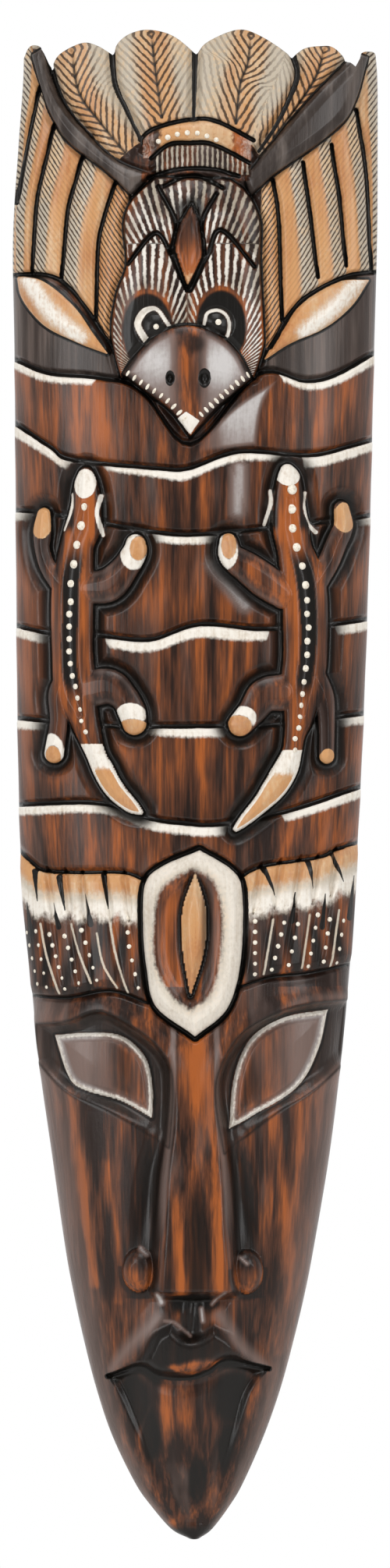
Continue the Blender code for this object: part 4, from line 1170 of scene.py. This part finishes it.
# A cloud of points on the carving that says where each dab lies, how it turns and how large it is.
def dabCloud():
    laid = []
    for path, count, first, last in dabs["rows"]:
        radius = np.linspace(first, last, count) * dabs["grown"]
        laid.append((*alongPath(path, count), np.stack([radius, radius, radius * dabs["thick"]], axis=-1)))
    for path, count in dabs["teeth"]:
        place, way = alongPath(path, count)
        inward = np.stack([-way[:, 1], way[:, 0]], axis=-1)
        inward *= (np.sign(inward[:, 1]) / np.linalg.norm(inward, axis=1))[:, None]
        long, short = dabs["toothSize"]
        size = np.tile([[long, short, short * dabs["thick"]]], (count, 1))
        laid.append((place + inward * dabs["toothInset"], inward, size))
    places, ways, sizes = [np.vstack(parts) for parts in zip(*laid)]
    u, v = places[:, 0], places[:, 1]
    here = surfaceAt(u, v)
    step = dabs["normalStep"]
    across, up = (surfaceAt(u + a, v + b) - surfaceAt(u - a, v - b) for a, b in ((step, 0), (0, step)))
    normal = np.cross(across, up)
    turns = []
    for way, out in zip(ways, normal):
        out = Vector(out).normalized()
        if out.y > 0:
            out = -out
        along = Vector((way[0], 0, way[1]))
        along = (along - out * along.dot(out)).normalized()
        turns.append(Matrix((along, out.cross(along), out)).transposed().to_euler())
    mesh = bpy.data.meshes.new("dabCloud")
    mesh.from_pydata(here.tolist(), [], [])
    for key, values in (("dabTurn", turns), ("dabSize", sizes * toMetres)):
        amounts = mesh.attributes.new(key, "FLOAT_VECTOR", "POINT").data
        amounts.foreach_set("vector", np.array(values, np.float32).ravel())
    return mesh


# One value of a shader or geometry tree: sums are written like ordinary maths.
class Flow:
    def __init__(self, tree, socket=None):
        self.tree, self.socket = tree, socket

    # A new node, its inputs by name or number, and one of its outputs as a value.
    def made(self, kind, inputs, out=0, **settings):
        node = self.tree.nodes.new(kind)
        for key, value in settings.items():
            setattr(node, key, value)
        for key, value in inputs.items():
            if isinstance(value, Flow):
                self.tree.links.new(value.socket, node.inputs[key])
            else:
                node.inputs[key].default_value = value
        return Flow(self.tree, node.outputs[out])

    def maths(self, operation, *values):
        return self.made("ShaderNodeMath", dict(enumerate(values)), operation=operation)

    def __add__(self, other):
        return self.maths("ADD", self, other)

    def __sub__(self, other):
        return self.maths("SUBTRACT", self, other)

    def __rsub__(self, other):
        return self.maths("SUBTRACT", other, self)

    def __mul__(self, other):
        return self.maths("MULTIPLY", self, other)

    def __truediv__(self, other):
        return self.maths("DIVIDE", self, other)

    __radd__, __rmul__ = __add__, __mul__

    # 0 below low, 1 above high, smooth between; the other way round when low is the higher.
    def smooth(self, low, high):
        ends = {"Value": self, "From Min": low, "From Max": high}
        return self.made("ShaderNodeMapRange", ends, interpolation_type="SMOOTHSTEP")

    # From 0 up to 1 and back for every whole turn.
    def zigzag(self):
        return self.maths("PINGPONG", self, 0.5) * 2

    # Colour between two, by this value as the share of the second.
    def between(self, first, second):
        mix = self.tree.nodes.new("ShaderNodeMix")
        mix.data_type = "RGBA"
        ends = {i.identifier: i for i in mix.inputs}
        for key, value in (("Factor_Float", self), ("A_Color", first), ("B_Color", second)):
            if isinstance(value, Flow):
                self.tree.links.new(value.socket, ends[key])
            else:
                ends[key].default_value = value
        return Flow(self.tree, next(o for o in mix.outputs if o.identifier == "Result_Color"))


# Linear colour from the usual 0 to 255 values.
def colour(*values):
    return tuple(c / 255 / 12.92 if c <= 10 else ((c / 255 + 0.055) / 1.055) ** 2.4 for c in values) + (1.0,)


wood = {
    "dark": colour(34, 20, 14),
    "brown": colour(86, 50, 32),
    "orange": colour(160, 86, 38),
    # grey serves both random grey patches in the wood and painted sheen; glint is the colour of painted highlights
    "grey": colour(116, 97, 90),
    "glint": colour(192, 188, 186),
    "cream": colour(232, 226, 216),
    "creamWorn": colour(196, 180, 160),
    "featherGrey": colour(184, 172, 154),
    "ochre": colour(198, 148, 100),
    "ochrePale": colour(206, 176, 140),
    "black": colour(15, 12, 9),
    "slate": colour(52, 44, 40),
    "slateLight": colour(104, 94, 88),
    "stroke": colour(66, 50, 38),
    "creamThick": colour(236, 229, 214),
    "backDark": colour(52, 34, 24),
    "backLight": colour(122, 82, 52),
    "roughWood": 0.36,
    "roughPaint": 0.42,
    "roughBack": 0.5,
    "grainHeight": 0.0007,
    "dabHeight": 0.0002,
    "backHeight": 0.0006,
    "coatRough": 0.2,
    "mirror": 0.2,
    "bump": 0.8,
}


# Noise of the given size in mm across and up the mask, 0 to 1.
def noise(flow, across, up, detail=3.0, seed=0.0):
    place = flow.made("ShaderNodeTexCoord", {}, "Object")
    start = (seed, seed * 1.7, seed * 0.6)
    scale = (1000 / across, 1000 / across, 1000 / up)
    placed = flow.made("ShaderNodeMapping", {"Vector": place, "Location": start, "Scale": scale})
    pattern = {"Vector": placed, "Scale": 1.0, "Detail": detail, "Roughness": 0.55}
    return flow.made("ShaderNodeTexNoise", pattern, "Fac")


# Principled material; its colour, roughness and height come from one function.
def newMaterial(name, paintIt, coat):
    material = bpy.data.materials.new(name)
    material.use_nodes = True
    tree = material.node_tree
    shader = tree.nodes["Principled BSDF"]
    varnish = {"Coat Weight": coat, "Coat Roughness": wood["coatRough"], "Specular IOR Level": wood["mirror"]}
    for key, value in varnish.items():
        shader.inputs[key].default_value = value
    flow = Flow(tree)
    base, rough, height, distance = paintIt(flow)
    bump = flow.made("ShaderNodeBump", {"Height": height, "Distance": distance, "Strength": wood["bump"]})
    for key, value in (("Base Color", base), ("Roughness", rough), ("Normal", bump)):
        tree.links.new(value.socket, shader.inputs[key])
    return material


# Brown wood with orange streaks and random grey patches, under painted sheen and highlights, and coats of slate,
# ochre, cream, strokes, dark paint with painted shade, and black.
def carvedPaint(flow):
    coats = {name: flow.made("ShaderNodeAttribute", {}, "Fac", attribute_name=name) for name in coatNames}
    streak = noise(flow, 9, 130)
    fine = noise(flow, 1.8, 60, 4.0, 3.0)
    blotch = noise(flow, 28, 45, 2.0, 7.0)
    haze = noise(flow, 16, 90, 2.0, 13.0)
    rag = noise(flow, 2.2, 2.6, 4.0, 11.0) - 0.5
    wave = noise(flow, 9, 9, 2.0, 5.0) - 0.5
    tone = (streak - 0.5) * 2.3 + (fine - 0.5) * 1.1 + (blotch - 0.5) * 0.9 + coats["glow"]
    barb = (coats["barbPhase"] + wave * 0.45).zigzag()
    hair = (coats["hairPhase"] + wave * 0.3).zigzag()
    orangeOchre = (blotch + rag).smooth(0.2, 0.9).between(wood["ochre"], wood["orange"])
    paleOchre = (haze + rag * 0.5).smooth(0.4, 0.75).between(wood["ochre"], wood["ochrePale"])
    cleanCream = (fine * 0.5 + rag * 0.5 + blotch * 0.5).smooth(0.15, 0.6).between(wood["creamWorn"], wood["cream"])
    featherCream = (blotch + rag * 0.8).smooth(0.42, 0.8).between(wood["featherGrey"], wood["ochrePale"])
    cream = coats["barb"].smooth(0.0, 0.3).between(cleanCream, featherCream)
    creamMask = (coats["cream"] + rag * 0.4 + (fine - 0.5) * 0.25).smooth(0.3, 0.72)
    barbMask = (barb + rag * 0.7).smooth(0.5, 0.24) * coats["barb"]
    hairMask = (hair + rag * 0.9 + wave * 0.3).smooth(0.42, 0.78) * (coats["hair"] + rag * 0.5).smooth(0.3, 0.6)
    layers = (
        (tone.smooth(0.0, 0.55), wood["brown"]),
        (tone.smooth(0.4, 1.05), wood["orange"]),
        (haze.smooth(0.5, 0.75) * (0.5 - coats["glow"] * 0.4), wood["grey"]),
        # painted sheen, then painted highlights where the sheen coat passes 1
        ((coats["sheen"] * (0.45 + streak * 0.7)).smooth(0.0, 1.0), wood["grey"]),
        (((coats["sheen"] - 1) * (0.55 + fine * 0.6 + rag * 0.5)).smooth(0.0, 0.8), wood["glint"]),
        (coats["slate"], (streak + fine * 0.4).smooth(0.55, 1.05).between(wood["slate"], wood["slateLight"])),
        ((coats["ochre"] + rag * 0.5).smooth(0.42, 0.6), paleOchre),
        ((coats["ochre"] * (blotch + fine - 0.75)).smooth(0.0, 0.5) * 0.6, orangeOchre),
        (creamMask, cream),
        (barbMask, wood["stroke"]),
        (hairMask * (0.35 + blotch * 0.8), blotch.smooth(0.45, 0.65).between(wood["featherGrey"], wood["cream"])),
        # airbrushed dark paint together with painted shade
        ((coats["soot"] * (0.8 + blotch * 0.35)).smooth(0.0, 1.0), wood["black"]),
        ((coats["black"] + rag * 0.4 + wave * 0.6).smooth(0.38, 0.6), wood["black"]),
    )
    paint = wood["dark"]
    for share, over in layers:
        paint = share.between(paint, over)
    rough = wood["roughWood"] + creamMask * 0.14 + (fine - 0.5) * 0.2
    height = fine * 0.5 + rag * 0.25 + creamMask * 0.35 - barbMask * 0.35 + hairMask * 0.3
    return paint, rough, height, wood["grainHeight"]


# Thick cream paint of the dots.
def dabPaint(flow):
    spots = noise(flow, 1.6, 1.6, 2.0, 2.0)
    cream = spots.smooth(0.2, 0.6).between(wood["creamWorn"], wood["creamThick"])
    return cream, spots * 0.1 + wood["roughPaint"], spots, wood["dabHeight"]


# Stained wood of the back, with long grain.
def backWood(flow):
    streak = noise(flow, 7, 160, 3.0, 4.0)
    fine = noise(flow, 1.6, 70, 3.0, 9.0)
    tone = (streak - 0.5) * 1.6 + (fine - 0.5) + 0.45
    brown = tone.smooth(0.0, 1.0).between(wood["backDark"], wood["backLight"])
    return brown, fine * 0.2 + wood["roughBack"], fine + streak * 0.4, wood["backHeight"]


# Geometry nodes that lay one flattened round dab on every point of a cloud.
def dabTree(material):
    tree = bpy.data.node_groups.new("dabTree", "GeometryNodeTree")
    doors = tree.interface
    doors.new_socket("Cloud", in_out="INPUT", socket_type="NodeSocketGeometry")
    for name, kind in (("Rounds", "NodeSocketInt"), ("Unevenness", "NodeSocketFloat"), ("Seed", "NodeSocketInt")):
        doors.new_socket(name, in_out="INPUT", socket_type=kind).default_value = dabs["nodes"][name]
    doors.new_socket("Dabs", in_out="OUTPUT", socket_type="NodeSocketGeometry")
    flow = Flow(tree)
    start = tree.nodes.new("NodeGroupInput")
    given = {o.name: Flow(tree, o) for o in start.outputs if o.name}
    ball = flow.made("GeometryNodeMeshUVSphere", {"Segments": given["Rounds"], "Rings": 7, "Radius": 1.0}, "Mesh")
    turn, size = [flow.made("GeometryNodeInputNamedAttribute", {"Name": name}, data_type="FLOAT_VECTOR")
                  for name in ("dabTurn", "dabSize")]
    chance = flow.made("FunctionNodeRandomValue", {2: 0.0, 3: 1.0, "Seed": given["Seed"]}, 1, data_type="FLOAT")
    swell = 1.0 + (chance - 0.5) * given["Unevenness"] * 2
    scaled = flow.made("ShaderNodeVectorMath", {0: size, "Scale": swell}, operation="SCALE")
    turned = flow.made("FunctionNodeEulerToRotation", {0: turn})
    places = {"Points": given["Cloud"], "Instance": ball, "Rotation": turned, "Scale": scaled}
    laid = flow.made("GeometryNodeInstanceOnPoints", places)
    real = flow.made("GeometryNodeRealizeInstances", {"Geometry": laid})
    smooth = flow.made("GeometryNodeSetShadeSmooth", {"Geometry": real})
    done = flow.made("GeometryNodeSetMaterial", {"Geometry": smooth, "Material": material})
    end = tree.nodes.new("NodeGroupOutput")
    tree.links.new(done.socket, end.inputs["Dabs"])
    return tree


# The finished mesh of an object whose geometry nodes have run, as an object without modifiers.
def settled(name, cloud, tree, inputs):
    holder = bpy.data.objects.new(name, cloud)
    bpy.context.scene.collection.objects.link(holder)
    modifier = holder.modifiers.new("dabs", "NODES")
    modifier.node_group = tree
    sockets = {item.name: item.identifier for item in tree.interface.items_tree if item.in_out == "INPUT"}
    for key, value in inputs.items():
        modifier[sockets[key]] = value
    holder.update_tag()
    bpy.context.view_layer.update()
    graph = bpy.context.evaluated_depsgraph_get()
    mesh = bpy.data.meshes.new_from_object(holder.evaluated_get(graph))
    holder.modifiers.remove(modifier)
    holder.data = mesh
    return holder


studio = {
    "camera": (0.0, -6.0, -0.4134),
    "lens": 206.6,
    "dim": 0.3,
    "lights": [
        ("softLeft", (-2.2, -2.6, 0.2), (1.2, 2.4), 52.0),
        ("softRight", (2.4, -2.4, 0.4), (1.0, 2.4), 42.0),
        ("softTop", (0.0, -1.6, 2.2), (1.6, 1.2), 34.0),
    ],
    "floor": -1.25,
    "floorRadius": 2.2,
    "floorColour": (0.86, 0.85, 0.83, 1),
    "floorRough": 0.7,
}


# White room, soft lights, pale floor well below the mask, and the camera in front.
def buildStudio():
    scene = bpy.context.scene
    world = bpy.data.worlds.new("room")
    world.use_nodes = True
    # white behind the mask, dimmer behind the camera so that the varnish keeps its dark tones
    flow = Flow(world.node_tree)
    way = flow.made("ShaderNodeTexCoord", {}, "Generated")
    depth = flow.made("ShaderNodeSeparateXYZ", {0: way}, "Y")
    shade = depth.smooth(-0.35, 0.6).between((studio["dim"],) * 3 + (1,), (1, 1, 1, 1))
    background = world.node_tree.nodes["Background"]
    world.node_tree.links.new(shade.socket, background.inputs["Color"])
    scene.world = world
    aim = Vector((0, 0, studio["camera"][2]))
    for name, place, size, power in studio["lights"]:
        lamp = bpy.data.lights.new(name, "AREA")
        lamp.shape, lamp.size, lamp.size_y, lamp.energy = "RECTANGLE", size[0], size[1], power
        thing = bpy.data.objects.new(name, lamp)
        thing.location = place
        thing.rotation_euler = (aim - Vector(place)).to_track_quat("-Z", "Y").to_euler()
        scene.collection.objects.link(thing)
    bpy.ops.mesh.primitive_circle_add(vertices=64, radius=studio["floorRadius"], fill_type="NGON",
                                      location=(0, 0, studio["floor"]))
    floor = bpy.context.object
    floor.name = "floor"
    pale = bpy.data.materials.new("paleFloor")
    pale.use_nodes = True
    inputs = pale.node_tree.nodes["Principled BSDF"].inputs
    inputs["Base Color"].default_value = studio["floorColour"]
    inputs["Roughness"].default_value = studio["floorRough"]
    floor.data.materials.append(pale)
    lens = bpy.data.cameras.new("camera")
    lens.lens, lens.sensor_width, lens.sensor_fit = studio["lens"], 36.0, "AUTO"
    camera = bpy.data.objects.new("camera", lens)
    camera.location = studio["camera"]
    camera.rotation_euler = (math.pi / 2, 0, 0)
    scene.collection.objects.link(camera)
    scene.camera = camera
    scene.view_settings.view_transform = "Standard"


sheets = {"grid": (300, 320), "quickGrid": (160, 150), "splits": [0.0, 0.33, 0.56, 0.78, 1.0], "backStep": 7}


# The carved front in four sheets with shared joins, the back, and the dabs of paint.
def buildMask():
    columns, rowsEach = sheets["grid"]
    low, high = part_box("carved_mask")
    rungs, joins = [0.0], [0]
    for start, end in zip(sheets["splits"], sheets["splits"][1:]):
        rungs += list(np.linspace(start, end, rowsEach + 1)[1:])
        joins.append(len(rungs) - 1)
    u, v = frontSheet(np.array(rungs), columns)
    points = surfaceAt(u, v)
    print("carved", points.shape[:2])
    coats = paintCoats(u, v)
    # side walls, crest wall and chin wall: two more rows or columns each, back to the plane y = 0
    widths = ((2, 2), (2, 2))
    coats = {key: np.pad(values, widths, mode="edge") for key, values in coats.items()}
    points = np.pad(points, widths + ((0, 0),), mode="edge")
    for edge, half in ((0, 1), (-1, -2)):
        points[half, :, 1] *= 0.5
        points[edge, :, 1] = 0
        points[:, half, 1] *= 0.5
        points[:, edge, 1] = 0
    points = np.clip(points, np.array(low), np.array(high))
    normals = gridNormals(points)
    painted = newMaterial("paintedWood", carvedPaint, 0.18)
    last = len(rungs) + 3
    cuts = [0] + [join + 2 for join in joins[1:-1]] + [last]
    pieces = []
    for order, (start, end) in enumerate(zip(cuts, cuts[1:])):
        here = slice(start, end + 1)
        hereCoats = {key: values[here] for key, values in coats.items()}
        sheet = gridObject("carving%d" % (order + 1), points[here], normals[here], hereCoats)
        sheet.data.materials.append(painted)
        pieces.append(sheet)
        print("front sheet", order + 1, len(sheet.data.polygons))
    rows = sorted(set(list(range(2, last - 1, sheets["backStep"])) + [last - 2]))
    back = backPoints(points[rows][:, 2:-2])
    behind = gridObject("hollowBack", back, gridNormals(back), {}, flipped=True)
    behind.data.materials.append(newMaterial("stainedBack", backWood, 0.1))
    print("back", len(behind.data.polygons))
    tree = dabTree(newMaterial("dabPaint", dabPaint, 0.2))
    spots = settled("paintDabs", dabCloud(), tree, dabs["nodes"])
    print("dabs", len(spots.data.polygons))
    for piece in pieces + [behind, spots]:
        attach(piece, "root")
    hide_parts("carved_mask")


buildMask()
buildStudio()
print("studio ready")
